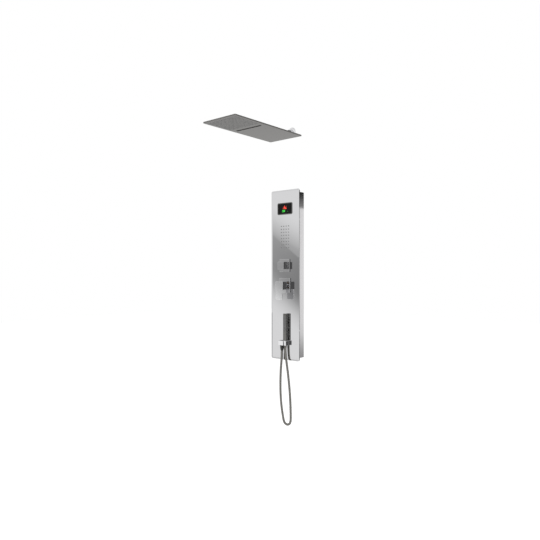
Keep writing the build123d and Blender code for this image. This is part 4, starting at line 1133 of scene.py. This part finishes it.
def side_card():
    """The card that the housing's right side mirrors."""
    rise = [CAMERA_PLACE.z + SIDE_SCALE * (z - CAMERA_PLACE.z) for z in (-0.52, 0.60)]
    corners = [(SIDE_X, 2.2, rise[0]), (SIDE_X, 2.8, rise[0]), (SIDE_X, 2.8, rise[1]), (SIDE_X, 2.2, rise[1])]
    return flat_sheet("side_card", corners, side_tones)


def back_card():
    """A dark card behind the camera, for faces whose mirror image looks straight back."""
    away = Vector((0.615, -0.788, 0))
    middle = away * 4.4
    across = Vector((0.788, 0.615, 0)) * 0.75
    corners = [
        middle + across * sign_x + Vector((0, 0, rise)) for sign_x, rise in ((-1, -1.28), (1, -1.28), (1, 0.6), (-1, 0.6))
    ]
    return flat_sheet("back_card", corners, lambda tree: 0.12)


def head_cards():
    """Two dim cards, high up, that the rain head's thin edges mirror."""
    beside = [(2.0, 1.1, 1.45), (2.0, 2.7, 1.45), (2.0, 2.7, 1.78), (2.0, 1.1, 1.78)]
    flat_sheet("head_side_card", beside, lambda tree: 0.42)
    before = [(-1.9, -2.0, 1.30), (-1.0, -2.0, 1.30), (-1.0, -2.0, 1.45), (-1.9, -2.0, 1.45)]
    flat_sheet("head_end_card", before, lambda tree: 0.55)


def floor():
    """A pale floor below the hose that keeps a soft shadow and looks white elsewhere."""
    size = 12.0
    level = -1.3
    mesh = bpy.data.meshes.new("floor")
    mesh.from_pydata([(-size, -size, level), (size, -size, level), (size, size, level), (-size, size, level)], [], [(0, 1, 2, 3)])
    ground = bpy.data.objects.new("floor", mesh)
    bpy.context.scene.collection.objects.link(ground)
    material = bpy.data.materials.new("floor")
    material.use_nodes = True
    tree = material.node_tree
    shader = tree.nodes["Principled BSDF"]
    shader.inputs["Roughness"].default_value = 1.0
    shader.inputs["Specular IOR Level"].default_value = 0.0
    shader.inputs["Base Color"].default_value = (0.82, 0.82, 0.82, 1)
    shader.inputs["Emission Color"].default_value = (1, 1, 1, 1)
    tree.links.new(maths(tree, "MULTIPLY", light_path(tree, "Is Camera Ray", "Is Transmission Ray"), 0.50), shader.inputs["Emission Strength"])
    mesh.materials.append(material)


def soft_light(name, place, target, size, power):
    """A square lamp that faces a point."""
    lamp = bpy.data.objects.new(name, bpy.data.lights.new(name, "AREA"))
    bpy.context.scene.collection.objects.link(lamp)
    lamp.data.size = size
    lamp.data.energy = power
    lamp.location = place
    lamp.rotation_euler = (Vector(target) - Vector(place)).to_track_quat("-Z", "Y").to_euler()
    lamp.visible_glossy = False


front_card()
side_card()
back_card()
head_cards()
floor()
soft_light("key_light", (-1.6, -2.6, 3.0), (0, 0, 0), 2.0, 60)
print("cards stand, scale", round(CARD_SCALE, 4), round(SIDE_SCALE, 4))

# %% Finish
bpy.context.scene.view_settings.view_transform = "Standard"
